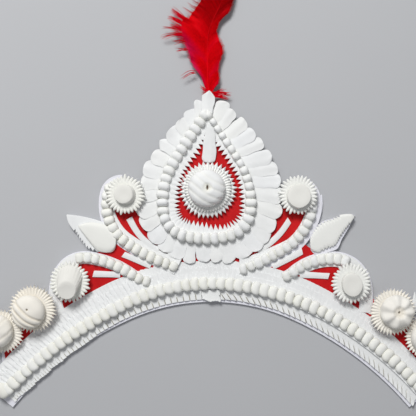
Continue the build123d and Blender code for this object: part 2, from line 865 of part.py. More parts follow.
def lock_face(share, sign):
    """One lock of the feather: a curved blade from the quill out to the feather's outline."""
    column = 1 if sign < 0 else 2
    root = quill_line.position_at(share)
    ahead = quill_line.tangent_at(share)
    away = Vector(sign * ahead.Y, -sign * ahead.X)
    reach = between(lock_rows, share, column) * plume_width
    tip = root + away * reach + ahead * (reach * lock_sweep + lock_root / 2)
    heel = root - ahead * lock_root / 2
    toe = root + ahead * lock_root / 2
    belly = (heel + tip) * 0.5 + away * reach * lock_belly
    hollow = (toe + tip) * 0.5 + away * reach * lock_belly / 2
    with BuildLine() as outline:
        ThreePointArc(heel, belly, tip)
        ThreePointArc(tip, hollow, toe)
        Line(toe, heel)
    make_face(outline.edges())


with BuildPart() as plume:
    for number in range(lock_count):
        share = lock_first + (1 - lock_first) * number / lock_count
        for sign in (-1, 1):
            lift = lock_thick * lock_lift * (number % 3)
            with BuildSketch(Plane.XY.offset(plume_floor + lift)):
                lock_face(share, sign)
            extrude(amount=lock_thick)
    with BuildSketch(Plane.XY.offset(plume_floor)):
        with BuildLine() as outline:
            left = [spot - aside * quill_radius for spot, aside in quill_sides]
            right = [spot + aside * quill_radius for spot, aside in quill_sides]
            Spline(*left)
            Spline(*right)
            Line(left[0], right[0])
            Line(left[-1], right[-1])
        make_face(outline.edges())
    extrude(amount=2 * quill_radius)
save(plume.part, "plume")
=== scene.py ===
import bpy
import numpy as np
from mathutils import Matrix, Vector


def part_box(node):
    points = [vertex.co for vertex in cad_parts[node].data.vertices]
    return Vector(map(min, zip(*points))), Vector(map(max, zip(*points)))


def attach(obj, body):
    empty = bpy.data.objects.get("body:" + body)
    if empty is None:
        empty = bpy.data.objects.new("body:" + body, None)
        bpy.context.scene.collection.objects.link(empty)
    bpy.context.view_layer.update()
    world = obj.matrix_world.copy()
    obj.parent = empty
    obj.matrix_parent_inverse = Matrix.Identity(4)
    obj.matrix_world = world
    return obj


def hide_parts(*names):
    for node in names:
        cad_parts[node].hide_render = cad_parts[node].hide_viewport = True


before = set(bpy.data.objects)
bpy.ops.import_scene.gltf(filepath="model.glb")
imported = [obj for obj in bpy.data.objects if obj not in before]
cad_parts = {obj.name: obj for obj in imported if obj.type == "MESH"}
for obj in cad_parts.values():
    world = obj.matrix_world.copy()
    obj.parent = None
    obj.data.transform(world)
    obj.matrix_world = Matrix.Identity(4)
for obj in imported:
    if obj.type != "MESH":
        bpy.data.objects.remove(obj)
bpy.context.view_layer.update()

# Bridal crown of carved white pith on a card plate, lying on its back. Lengths are millimetres and
# angles radians. A mesh is turned into metres when it is made, and its UVs are in centimetres, with
# each shape's moved by the shape gap from the last one's. Rounded ends stop a little short of a point,
# at the blunt end's share of a quarter turn.
metre = 0.001
centimetre = 10.0
shape_gap = 7.3
blunt_end = 0.985

# Arched band, two arcs along the brow edge
brow_mid_radius = 141.0
brow_side_radius = 240.0
brow_mid_turn = np.radians(24.0)
brow_end_turn = np.radians(49.5)
band_width = 30.0
brow_low = -band_width / 2
half_arc = brow_mid_turn * brow_mid_radius
half_brow = half_arc + (brow_end_turn - brow_mid_turn) * brow_side_radius

# Drop shaped middle
drop_shift = -3.2
drop_foot = 45.5
drop_heading = np.radians(-56.5)
drop_flank_length = 40.0
drop_flank_radius = 56.0
drop_flank_turn = np.radians(39.5)
drop_hip_radius = 21.0
drop_hip_turn = np.radians(71.0)

# Petals round the drop
petal_count = 33
petal_half_span = 52.0
petal_shift = 1.0
petal_outline_height = 124.0
petal_outline_foot = 27.6
petal_width = 12.0
petal_root_width = 8.0
petal_thick = 0.7

# Bead strips: pitch, width across the row and rise
band_bead = (6.2, 9.4, 4.0)
drop_bead = (5.9, 8.6, 4.2)
scroll_bead = (5.8, 7.8, 3.6)

# Scrolls of the lobes
upper_scroll_radius = 42.0
lower_scroll_radius = 25.0

# Tables. Bead row on the band: (share along the arch, share of band_width)
bead_row_rows = (
    (-0.97, 0.37), (-0.72, 0.35), (-0.45, 0.37), (-0.20, 0.43), (0.0, 0.45),
    (0.22, 0.44), (0.45, 0.49), (0.70, 0.51), (0.97, 0.51),
)

# Outer edge of the band: (share along the half arch, share of band_width)
band_edge_rows = ((0.0, 1.0), (0.36, 1.0), (0.70, 0.97), (1.0, 0.87))

# Free edge of the lower comb: (share along the arch, millimetres from the brow edge)
comb_edge_rows = (
    (-1.0, 1.6), (-0.93, 0.6), (-0.85, -0.1), (-0.60, -0.2),
    (-0.50, 1.2), (-0.40, 1.8), (0.2, 2.2), (1.0, 2.2),
)

# Outline of the petal tips, from the top: (share of petal_half_span, share of petal_outline_height)
petal_outline_rows = (
    (0.0, 1.0), (0.35, 0.872), (0.65, 0.755), (0.93, 0.572), (1.0, 0.398),
    (0.955, 0.249), (0.70, 0.085), (0.30, 0.0), (0.0, 0.01),
)

# Scrolls: (name, side, share along the arch, share of band_width, heading in degrees,
# turning, radius, ((share of the radius, turn in degrees), ...))
scroll_rows = (
    ("upper", "left", 0.153, 1.0, 18.6, 1, upper_scroll_radius, ((2.6, 18.3), (0.8, 66.0))),
    ("upper", "right", 0.135, 0.9, 23.0, 1, upper_scroll_radius, ((4.4, 9.3), (1.0, 43.0), (0.69, 24.0))),
    ("lower", "left", 0.283, 0.95, 35.0, -1, lower_scroll_radius, ((2.9, 27.6), (0.8, 68.6), (1.3, 42.0))),
    ("lower", "right", 0.293, 1.05, 37.9, -1, lower_scroll_radius, ((1.84, 37.8), (0.98, 81.5))),
)

# How each scroll goes on past its solid: (length and turn in degrees of the tail on the band,
# share of the radius and turn of the curl, share of the line that has beads)
scroll_ends = (
    (7.0, -9.0, 0.24, 80.0, 0.92),
    (6.5, -25.0, 0.24, 75.0, 0.92),
    (13.0, 30.0, 0.9, 20.0, 0.55),
    (8.0, -28.0, 2.4, 17.0, 0.56),
)

# Plain strip under each scroll's beads: (share of the line, inner edge, outer edge of the strip,
# outer edge of the card rim), millimetres from the bead line
ribbon_rows = (
    ((0.0, 7.0, -5.0, -5.4), (0.25, 6.6, -4.2, -4.8), (0.6, 6.0, -3.8, -5.8), (1.0, 3.0, -3.0, -5.4)),
    (
        (0.0, 7.5, -3.0, -4.0), (0.25, 6.0, -4.0, -7.2), (0.45, 3.8, -4.0, -7.4), (0.75, 3.8, -4.0, -7.4),
        (1.0, 3.0, -3.0, -5.0),
    ),
    ((0.0, 2.0, -3.0, -3.4), (0.25, 4.0, -3.8, -4.2), (0.6, 4.4, -3.8, -4.6), (1.0, 4.4, -3.6, -4.4)),
    ((0.0, 2.0, -3.0, -3.4), (0.20, 5.6, -3.8, -4.4), (0.6, 5.6, -4.6, -5.6), (1.0, 5.0, -3.4, -4.2)),
)


def corner(node, which):
    """Lowest (0) or highest (1) corner of a node of the frame, in millimetres."""
    return np.array(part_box(node)[which]) / metre


def middle(node):
    """Centre of a node's box."""
    return (corner(node, 0) + corner(node, 1)) / 2


def floor_of(node):
    """Height of a node's lowest points."""
    return corner(node, 0)[2]


def top_of(node):
    """Height of a node's highest points."""
    return corner(node, 1)[2]


def radius_of(node):
    """Half of a node's width."""
    return (corner(node, 1) - corner(node, 0))[0] / 2


def arch(share, height):
    """Points of the band. The brow edge is an arc of the middle radius up to the middle turn and then
    one of the side radius, the share runs along it from the middle, and the height is measured straight
    out from it."""
    run = np.abs(share) * half_brow
    side_turn = brow_mid_turn + (run - half_arc) / brow_side_radius
    turned = np.where(run < half_arc, run / brow_mid_radius, side_turn)
    inner = np.minimum(turned, brow_mid_turn)
    x = brow_mid_radius * np.sin(inner) + brow_side_radius * (np.sin(turned) - np.sin(inner))
    sink = brow_mid_radius * (1 - np.cos(inner)) + brow_side_radius * (np.cos(inner) - np.cos(turned))
    side = np.where(np.asarray(share) < 0, -1.0, 1.0)
    return np.stack([side * (x + height * np.sin(turned)), brow_low - sink + height * np.cos(turned)], -1)


def column(rows, share, number):
    """One column of a table at a share, in a straight line between its rows."""
    table = np.array(rows, float)
    return np.interp(share, table[:, 0], table[:, number])


def with_height(flat, height):
    """Points in space from their places on the table and their heights."""
    height = np.broadcast_to(height, flat.shape[:-1])
    return np.concatenate([flat, height[..., None]], -1)


# Points of the finest lines
line_samples = 4001


def bent_line(start, heading, stretches, shares):
    """Points and headings along tangent stretches, each (length, turn). The heading turns evenly along
    a stretch, and a point is the start plus the sum of the short steps before it."""
    stops = np.concatenate([[0.0], np.cumsum([length for length, turn in stretches])])
    headings = heading + np.concatenate([[0.0], np.cumsum([turn for length, turn in stretches])])
    steps = np.linspace(0, stops[-1], line_samples)
    way = np.interp((steps[1:] + steps[:-1]) / 2, stops, headings)
    moves = np.stack([np.cos(way), np.sin(way)], -1) * (steps[1] - steps[0])
    spots = np.concatenate([[start], start + np.cumsum(moves, 0)])
    wanted = np.asarray(shares) * stops[-1]
    points = np.stack([np.interp(wanted, steps, spots[:, axis]) for axis in (0, 1)], -1)
    return points, np.interp(wanted, stops, headings)


def drop_line(count):
    """Closed line of the drop's bead row, clockwise from its tip: a straight flank, a long arc, a tight
    hip arc and a foot arc that meets the axis level, and the same mirrored."""
    stretches = [
        (drop_flank_length, 0.0),
        (drop_flank_radius * drop_flank_turn, -drop_flank_turn),
        (drop_hip_radius * drop_hip_turn, -drop_hip_turn),
    ]
    foot_turn = np.pi + drop_heading - drop_flank_turn - drop_hip_turn
    end = bent_line(np.zeros(2), drop_heading, stretches, [1.0])[0][0]
    foot_radius = end[0] / np.sin(foot_turn)
    low = end[1] - foot_radius * (1 - np.cos(foot_turn))
    tip = np.array([drop_shift, brow_low + drop_foot - low])
    stretches.append((foot_radius * foot_turn, -foot_turn))
    half = bent_line(tip, drop_heading, stretches, np.linspace(0, 1, count // 2 + 1))[0]
    mirrored = half[::-1] * [-1, 1] + [2 * drop_shift, 0]
    return np.concatenate([half, mirrored[1:]])


def scroll_line(row, end, count):
    """Dense line of a scroll: the tail on the band, run backwards from the start, then the bends and
    the curl."""
    side, share, height, degrees, turning, size, bends = row[1:]
    sign = -1 if side == "left" else 1
    heading = np.radians(degrees) if sign > 0 else np.pi - np.radians(degrees)
    start = arch(sign * share, height * band_width)
    tail = bent_line(start, heading + np.pi, [(end[0], np.radians(end[1]))], np.linspace(1, 0, count))[0]
    stretches = []
    for radius, turn in bends + (end[2:4],):
        stretches.append((radius * size * np.radians(turn), sign * turning * np.radians(turn)))
    curl = bent_line(start, heading, stretches, np.linspace(0, 1, count))[0]
    return np.concatenate([tail, curl[1:]])


def run_along(line):
    """Length of a line up to each of its points."""
    return np.concatenate([[0], np.cumsum(np.linalg.norm(np.diff(line, axis=0), axis=1))])


def along_line(line, count):
    """Even points of a line, its left normals there and the shares of its length."""
    run = run_along(line)
    share = np.linspace(0, 1, count)
    points = np.stack([np.interp(share * run[-1], run, line[:, axis]) for axis in (0, 1)], -1)
    slope = np.gradient(points, axis=0)
    slope = slope / np.linalg.norm(slope, axis=1)[:, None]
    return points, np.stack([-slope[:, 1], slope[:, 0]], -1), share


# Parts of the petal outline, each as long as the running mean that rounds it
rounding_parts = 24


def petal_line(count):
    """Closed line of the petal tips, clockwise from the top, rounded between its rows by a running mean."""
    rows = np.array(petal_outline_rows)
    height = brow_low + petal_outline_foot + rows[:, 1] * petal_outline_height
    half = np.stack([rows[:, 0] * petal_half_span, height], -1)
    line = np.concatenate([half, half[-2::-1] * [-1, 1]])
    closed = along_line(line, count + 1)[0]
    spread = count // rounding_parts
    window = np.hanning(2 * spread + 1)
    window = window / window.sum()
    padded = np.concatenate([closed[-spread - 1:-1], closed, closed[1:spread + 1]])
    round_line = np.stack([np.convolve(padded[:, axis], window, "valid") for axis in (0, 1)], -1)
    share = np.linspace(0, 1, count + 1)
    blend = np.clip(np.minimum(share, 1 - share) * rounding_parts, 0, 1)[:, None]
    return closed * (1 - blend) + round_line * blend + [petal_shift, 0]


def spaced(line, pitch):
    """Centres, headings and true pitch of things set evenly along a dense line."""
    run = run_along(line)[-1]
    count = max(2, round(run / pitch))
    points, normals = [values[1::2] for values in along_line(line, 2 * count + 1)[:2]]
    return points, np.arctan2(-normals[:, 0], normals[:, 1]), run / count


def skin(rings, loop=False, tone=0.5):
    """Closed shapes from rings (shape, ring, point, 3): quads join the points round each ring and from
    ring to ring, and the end rings are capped, or joined in a loop. A shape that came out inside out is
    turned."""
    rings = np.asarray(rings, float)
    shapes, count, around = rings.shape[:3]
    ring = np.arange(count if loop else count - 1)[:, None]
    point = np.arange(around)
    after, beside = (ring + 1) % count, (point + 1) % around
    here, there = ring * around, after * around
    quads = np.stack([here + point, here + beside, there + beside, there + point], -1).reshape(-1, 4)
    spots = rings.reshape(shapes, -1, 3)
    heart = spots.mean(1, keepdims=True)
    a, b, c, d = [spots[:, quads[:, k]] - heart for k in range(4)]
    volume = (np.cross(b, c) * a + np.cross(c, d) * a).sum((1, 2))
    ends = np.stack([np.arange(around)[::-1], (count - 1) * around + np.arange(around)])
    if not loop:
        for end in ends:
            edge = spots[:, end] - heart
            hub = edge.mean(1, keepdims=True)
            volume = volume + (np.cross(edge, np.roll(edge, -1, 1)) * hub).sum((1, 2))
    starts = np.arange(shapes)[:, None, None] * count * around
    inside_out = (volume < 0)[:, None, None]
    faces = (np.where(inside_out, quads[:, ::-1], quads) + starts).reshape(-1, 4).tolist()
    if not loop:
        faces += (np.where(inside_out, ends[:, ::-1], ends) + starts).reshape(-1, around).tolist()
    along = np.linalg.norm(np.diff(rings, axis=1), axis=-1).mean((0, 2))
    sideways = np.linalg.norm(np.diff(rings, axis=2), axis=-1).mean((0, 1))
    runs = [np.append(0, np.cumsum(steps)) for steps in (along, sideways)]
    grid = np.stack(np.meshgrid(*runs, indexing="ij"), -1)
    places = grid + np.arange(shapes)[:, None, None, None] * shape_gap
    tone = np.asarray(tone, float)
    tones = np.broadcast_to(tone.reshape(tone.shape + (1,) * (3 - tone.ndim)), (shapes, count, around))
    return spots.reshape(-1, 3), faces, places.reshape(-1, 2), tones.reshape(-1)


def cut_sheet(top, thick):
    """Rings of cut sheets: the upper face's points, a blunt edge that stands out by a quarter of the
    thickness, the same points a thickness lower, and the other edge."""
    top = np.asarray(top, float)
    under = top - [0, 0, thick]
    edges = []
    for end, near in ((0, 1), (-1, -2)):
        out = top[..., end, :] - top[..., near, :]
        out = out / np.maximum(np.linalg.norm(out, axis=-1, keepdims=True), 1e-9)
        edges.append(((top[..., end, :] + under[..., end, :]) / 2 + out * thick / 4)[..., None, :])
    return np.concatenate([edges[0], top, edges[1], under[..., ::-1, :]], -2)


def put_in_scene(name, data):
    """Object in the scene for a mesh, a lamp or a camera."""
    holder = bpy.data.objects.new(name, data)
    bpy.context.scene.collection.objects.link(holder)
    return holder


def piece(node, finish, skins, material, crease=38.0):
    """One object made of skins in place of a node. Lengthwise and sideways centimetres go into the UV
    map, and each point's tone into an attribute. Edges are sharp from the crease's degrees on."""
    spots = np.concatenate([part[0] for part in skins])
    starts = np.cumsum([0] + [len(part[0]) for part in skins])
    faces = [[number + start for number in face] for part, start in zip(skins, starts) for face in part[1]]
    places = np.concatenate([part[2] for part in skins])
    name = f"{node}_{finish}"
    mesh = bpy.data.meshes.new(name)
    mesh.from_pydata(spots * metre, [], faces)
    corners = np.empty(len(mesh.loops), np.int32)
    mesh.loops.foreach_get("vertex_index", corners)
    lie = (places[corners] / centimetre).astype(np.float32)
    mesh.uv_layers.new(name="lie").uv.foreach_set("vector", lie.ravel())
    tones = np.concatenate([part[3] for part in skins]).astype(np.float32)
    mesh.attributes.new("tone", "FLOAT", "POINT").data.foreach_set("value", tones)
    mesh.polygons.foreach_set("use_smooth", np.ones(len(mesh.polygons), bool))
    mesh.set_sharp_from_angle(angle=np.radians(crease))
    mesh.materials.append(material)
    shown = put_in_scene(name, mesh)
    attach(shown, "root")
    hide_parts(node)


def wobble(chance, count, size):
    """Seeded unevenness of hand-cut things, around zero."""
    return chance.normal(0, size, count).clip(-2 * size, 2 * size)


def full_turn(count):
    """Even angles round a full turn."""
    return np.linspace(0, 2 * np.pi, count, endpoint=False)


def ridge(part, power):
    """Rounded tooth over a part of 0 to 1: one at its middle and none at its ends."""
    return 1 - np.abs(2 * part - 1) ** power


# Materials


def add_node(tree, kind, **values):
    """A shader node with its input values, or its properties where it has no such input."""
    node = tree.nodes.new(kind)
    for key, value in values.items():
        label = key.replace("_", " ")
        if label in node.inputs:
            node.inputs[label].default_value = value
        else:
            setattr(node, key, value)
    return node


def new_material(name):
    """Plain material, its node tree and its surface."""
    material = bpy.data.materials.new(name)
    material.use_nodes = True
    return material, material.node_tree, material.node_tree.nodes["Principled BSDF"]


def group_tree(name, inputs, outputs):
    """Empty node group with named inputs and outputs."""
    tree = bpy.data.node_groups.new(name, "ShaderNodeTree")
    for label, kind in inputs:
        tree.interface.new_socket(label, in_out="INPUT", socket_type=kind)
    for label, kind in outputs:
        tree.interface.new_socket(label, in_out="OUTPUT", socket_type=kind)
    return tree, tree.nodes.new("NodeGroupInput"), tree.nodes.new("NodeGroupOutput")


def make_grain_group():
    """Fine grain and fibres: noise in object space and noise stretched along the piece, mixed to a
    height, and a broad noise for the mottling."""
    tree, given, put = group_tree(
        "pith_grain",
        [(label, "NodeSocketFloat") for label in ("Grain Scale", "Fibre Scale", "Fibre Share")],
        [(label, "NodeSocketFloat") for label in ("Height", "Mottle")],
    )
    link = tree.links.new
    place = add_node(tree, "ShaderNodeTexCoord")
    grain = add_node(tree, "ShaderNodeTexNoise", Detail=4.0, Roughness=0.6)
    link(place.outputs["Object"], grain.inputs["Vector"])
    link(given.outputs["Grain Scale"], grain.inputs["Scale"])
    stretch = add_node(tree, "ShaderNodeMapping", Scale=(1.0, 9.0, 1.0))
    link(place.outputs["UV"], stretch.inputs["Vector"])
    fibre = add_node(tree, "ShaderNodeTexNoise", Detail=3.0, Roughness=0.55)
    link(stretch.outputs["Vector"], fibre.inputs["Vector"])
    link(given.outputs["Fibre Scale"], fibre.inputs["Scale"])
    height = add_node(tree, "ShaderNodeMix", data_type="FLOAT")
    link(given.outputs["Fibre Share"], height.inputs[0])
    link(grain.outputs["Fac"], height.inputs[2])
    link(fibre.outputs["Fac"], height.inputs[3])
    mottle = add_node(tree, "ShaderNodeTexNoise", Scale=90.0, Detail=3.0, Roughness=0.5)
    link(place.outputs["Object"], mottle.inputs["Vector"])
    spread = add_node(tree, "ShaderNodeMapRange", From_Min=0.35, From_Max=0.65)
    link(mottle.outputs["Fac"], spread.inputs["Value"])
    link(height.outputs[0], put.inputs["Height"])
    link(spread.outputs["Result"], put.inputs["Mottle"])
    return tree


def make_tone_group():
    """Colour from four: the mottling leads from the pale one to the dull one, a tone up to one leads on
    to the deep one, and a tone from one to two on to the dark one, a painted shade for pin holes, slits and
    the deepest cuts."""
    labels = ("Pale", "Dull", "Deep", "Dark")
    tree, given, put = group_tree(
        "tone_mix",
        [(label, "NodeSocketColor") for label in labels] + [("Mottle", "NodeSocketFloat")],
        [("Color", "NodeSocketColor")],
    )
    link = tree.links.new
    tone = add_node(tree, "ShaderNodeAttribute", attribute_name="tone")
    past = add_node(tree, "ShaderNodeMapRange", From_Min=1.0, From_Max=2.0)
    link(tone.outputs["Fac"], past.inputs["Value"])
    colour = given.outputs["Pale"]
    amounts = (given.outputs["Mottle"], tone.outputs["Fac"], past.outputs["Result"])
    for amount, label in zip(amounts, labels[1:]):
        mix = add_node(tree, "ShaderNodeMix", data_type="RGBA")
        link(amount, mix.inputs[0])
        link(colour, mix.inputs[6])
        link(given.outputs[label], mix.inputs[7])
        colour = mix.outputs[2]
    link(colour, put.inputs["Color"])
    return tree


grain_group = make_grain_group()
tone_group = make_tone_group()
# Painted shade: the dark that stands for the shade inside pin holes, slits and cuts
painted_hole_shade = (0.10, 0.055, 0.03)


def make_material(name, pale, dull, deep, roughness, grain, fibre_share, relief, sheen=0.0):
    """Dry matt surface: colour by mottling and tone, roughness by mottling, relief by grain and
    fibres."""
    material, tree, surface = new_material(name)
    link = tree.links.new
    texture = add_node(tree, "ShaderNodeGroup", node_tree=grain_group)
    for label, value in (("Grain Scale", grain), ("Fibre Scale", 5.0), ("Fibre Share", fibre_share)):
        texture.inputs[label].default_value = value
    paint = add_node(tree, "ShaderNodeGroup", node_tree=tone_group)
    for label, colour in (("Pale", pale), ("Dull", dull), ("Deep", deep), ("Dark", painted_hole_shade)):
        paint.inputs[label].default_value = (*colour, 1.0)
    link(texture.outputs["Mottle"], paint.inputs["Mottle"])
    link(paint.outputs["Color"], surface.inputs["Base Color"])
    rough = add_node(tree, "ShaderNodeMapRange", To_Min=roughness - 0.06, To_Max=roughness + 0.06)
    link(texture.outputs["Mottle"], rough.inputs["Value"])
    link(rough.outputs["Result"], surface.inputs["Roughness"])
    bump = add_node(tree, "ShaderNodeBump", Strength=relief, Distance=0.0004)
    link(texture.outputs["Height"], bump.inputs["Height"])
    link(bump.outputs["Normal"], surface.inputs["Normal"])
    surface.inputs["Sheen Weight"].default_value = sheen
    surface.inputs["Specular IOR Level"].default_value = 0.25
    return material


white_pith = make_material(
    "white_pith", (0.84, 0.855, 0.865), (0.80, 0.815, 0.825), (0.85, 0.85, 0.785),
    roughness=0.82, grain=1500.0, fibre_share=0.55, relief=0.30, sheen=0.12)
cream_pith = make_material(
    "cream_pith", (0.89, 0.875, 0.83), (0.86, 0.84, 0.79), (0.82, 0.77, 0.67),
    roughness=0.84, grain=1500.0, fibre_share=0.45, relief=0.30, sheen=0.12)
cut_pith = make_material(
    "cut_pith", (0.85, 0.85, 0.81), (0.81, 0.81, 0.77), (0.74, 0.73, 0.69),
    roughness=0.86, grain=2600.0, fibre_share=0.15, relief=0.35, sheen=0.10)
card_white = make_material(
    "card_white", (0.82, 0.825, 0.89), (0.78, 0.785, 0.86), (0.78, 0.78, 0.83),
    roughness=0.62, grain=3000.0, fibre_share=0.0, relief=0.10)
red_paper = make_material(
    "red_paper", (0.58, 0.004, 0.006), (0.48, 0.003, 0.005), (0.40, 0.002, 0.005),
    roughness=0.70, grain=1200.0, fibre_share=0.0, relief=0.45)

# Nodes that keep their own solids
plain_nodes = {
    "card_base": card_white,
    "red_ground": red_paper,
    "drop_ground": red_paper,
    "drop_backing": white_pith,
}
for node, material in plain_nodes.items():
    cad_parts[node].data.materials.clear()
    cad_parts[node].data.materials.append(material)


# Bead strips

# Points round a bead, the power of its swelling from end to end, half its length along the row as a
# share of the pitch, and how much the cuts between beads are darkened as painted shade
bead_around, bead_power, bead_half_share, bead_cut_painted_shade = 20, 2.8, 0.56, 0.9
bead_turn = full_turn(bead_around)

# Unevenness of the beads' length along the row, across it and of their rise, and of their headings
bead_uneven, bead_turn_uneven = (0.05, 0.05, 0.07), 0.05


def bead_rings(centre, heading, pitch, width, rise, floor, bow, fall, chance):
    """Barrels lying across a row. Round each barrel the along-row reach is a cosine and the height a
    sine, squashed under the floor. From end to end both swell as a superellipse of the reach, the
    barrel bows along the row by its square, and its crest falls towards the outer end."""
    count = len(centre)
    reach = np.sin(np.linspace(-1, 1, 15) * np.pi / 2 * blunt_end)
    swell = (1 - np.abs(reach) ** bead_power) ** (1 / bead_power)
    fatter, longer, taller = [1 + wobble(chance, count, size)[:, None, None] for size in bead_uneven]
    along = bead_half_share * pitch[:, None, None] * fatter * swell[:, None] * np.cos(bead_turn)
    along = along + bow * (reach[:, None] ** 2 - 0.4)
    across = np.broadcast_to(width[:, None, None] / 2 * longer * reach[:, None], along.shape)
    lift = np.where(np.sin(bead_turn) > 0, np.abs(np.sin(bead_turn)) ** 0.9, 0.08 * np.sin(bead_turn))
    height = rise * taller * (swell ** 0.8 * (1 - fall * (reach + 1) / 2))[:, None] * lift
    facing = (heading + wobble(chance, count, bead_turn_uneven))[:, None, None]
    x = centre[:, 0, None, None] + along * np.cos(facing) - across * np.sin(facing)
    y = centre[:, 1, None, None] + along * np.sin(facing) + across * np.cos(facing)
    return np.stack([x, y, floor[:, None, None] + height], -1)


def bead_row(line, bead, floor, bow, fall, warm, seed, shrink=None, climb=None, narrow=None):
    """Skin of a bead strip along a dense line. Pairs of rows, the line's shares and the values there,
    shrink, lift or narrow its beads."""
    chance = np.random.default_rng(seed)
    centre, heading, pitch = spaced(line, bead[0])
    share = (np.arange(len(centre)) + 0.5) / len(centre)
    size = np.ones(len(centre)) if shrink is None else np.interp(share, *shrink)
    base = floor + (np.zeros(len(centre)) if climb is None else np.interp(share, *climb))
    across = bead[1] * size * (1.0 if narrow is None else np.interp(share, *narrow))
    rise = bead[2] * size[:, None, None]
    rings = bead_rings(centre, heading, pitch * size, across, rise, base, bow, fall, chance)
    # Painted shade: the tone darkens each bead's sides where they go down into the cuts between beads
    cut = 1 - np.clip(np.sin(bead_turn), 0, 1)
    tone = warm + chance.uniform(-0.15, 0.15, len(centre))
    return skin(rings, tone=tone[:, None, None] + bead_cut_painted_shade * cut ** 2)


# Narrower beads on the right flank of the drop: shares of the line, shares of the width
drop_narrow_rows = ((0.0, 0.05, 0.20, 0.30, 0.97, 1.0), (0.50, 0.58, 0.66, 0.95, 1.0, 0.7))

# Big end bead on the left: its place as share along the arch and share of band_width, then its heading,
# pitch, width and rise
end_bead_place = (-0.969, 0.438)
end_bead_sizes = (0.72, 9.0, 11.5, 4.6)
row_samples = 1200


def band_line():
    """Dense line of the bead row on the band, from the left."""
    share = np.linspace(bead_row_rows[0][0], bead_row_rows[-1][0], row_samples)
    return arch(share, column(bead_row_rows, share, 1) * band_width)


def end_bead():
    """Big rounded end of the bead strip on the left."""
    centre = arch(np.array(end_bead_place[:1]), end_bead_place[1] * band_width)
    heading, pitch, width, rise = np.array(end_bead_sizes)[:, None]
    floor = np.array([floor_of("band_beads")])
    rings = bead_rings(
        centre, heading, pitch, width, rise, floor, bow=0.3, fall=0.0, chance=np.random.default_rng(9))
    return skin(rings, tone=0.9)


band_row = bead_row(band_line(), band_bead, floor_of("band_beads"), bow=0.9, fall=0.22, warm=0.6, seed=1)
piece("band_beads", "carved", [band_row, end_bead()], white_pith)
drop_row = bead_row(
    drop_line(row_samples), drop_bead, floor_of("drop_beads") - 0.6, bow=-0.4, fall=0.0, warm=0.2, seed=2,
    narrow=drop_narrow_rows)
piece("drop_beads", "carved", [drop_row], white_pith)

# Thickness and crown of the strip under a scroll's beads, and thickness of the card rim round it
strip_thick, strip_crown, rim_thick = 0.8, 0.15, 0.5

# Points of a scroll's line, of the strip along it and of the line that its beads follow
scroll_samples, strip_samples, beaded_samples = 400, 90, 800


def ribbon_skins(row, end, widths, node):
    """Plain strip under a scroll's beads and the rim of card beyond it, both as cut sheets across the
    line."""
    line = scroll_line(row, end, scroll_samples)
    points, normals, share = along_line(line, strip_samples)
    inward = normals * (row[5] * (-1 if row[1] == "left" else 1))
    inner, outer, rim = [column(widths, share, k)[:, None] for k in (1, 2, 3)]
    across = np.linspace(0, 1, 7)
    climb = np.interp(share, (0.0, 0.12), (1.5, 0.0))[:, None]
    sheets = []
    layers = (
        (inner, outer, top_of(node), strip_thick, strip_crown),
        (inner * 0.5, rim, floor_of(node) + 0.05, rim_thick, 0.0),
    )
    for first, last, z, thick, crown in layers:
        reach = first + (last - first) * across
        place = points[:, None] + inward[:, None] * reach[..., None]
        height = z + climb + crown * np.sin(np.pi * across)
        sheets.append(cut_sheet(with_height(place, height)[None], thick))
    return line, sheets


# Beads of a scroll near the band: shares of the line, then their size or their climb in millimetres
scroll_shrink = ((0.0, 0.2, 1.0), (0.85, 1.0, 1.0))
scroll_climb = ((0.0, 0.2, 1.0), (1.4, 0.0, 0.0))
scroll_warmth = {"left": 0.55, "right": 0.3}

for number, (row, end, widths) in enumerate(zip(scroll_rows, scroll_ends, ribbon_rows)):
    node, beads = f"{row[0]}_scroll_{row[1]}", f"{row[0]}_beads_{row[1]}"
    line, (strip, rim) = ribbon_skins(row, end, widths, node)
    piece(node, "strip", [skin(strip, tone=0.1)], white_pith)
    piece(node, "rim", [skin(rim)], card_white)
    beaded = along_line(line, beaded_samples)[0][:int(end[4] * beaded_samples)]
    carved = bead_row(
        beaded, scroll_bead, floor_of(beads), bow=0.5, fall=0.0, warm=scroll_warmth[row[1]],
        seed=3 + number, shrink=scroll_shrink, climb=scroll_climb)
    piece(beads, "carved", [carved], white_pith)


# Combed strips of the band

# Samples across a tab: (place across it, how far it goes down into the slit there)
slit_rows = (
    (0.0, 1.0), (0.08, 0.4), (0.14, 0.0), (0.35, 0.0), (0.6, 0.0), (0.86, 0.0), (0.92, 0.4), (1.0, 1.0),
)

# Height where the tabs begin, and the thickness of their strip
tab_foot, tab_thick = 12.5, 1.0


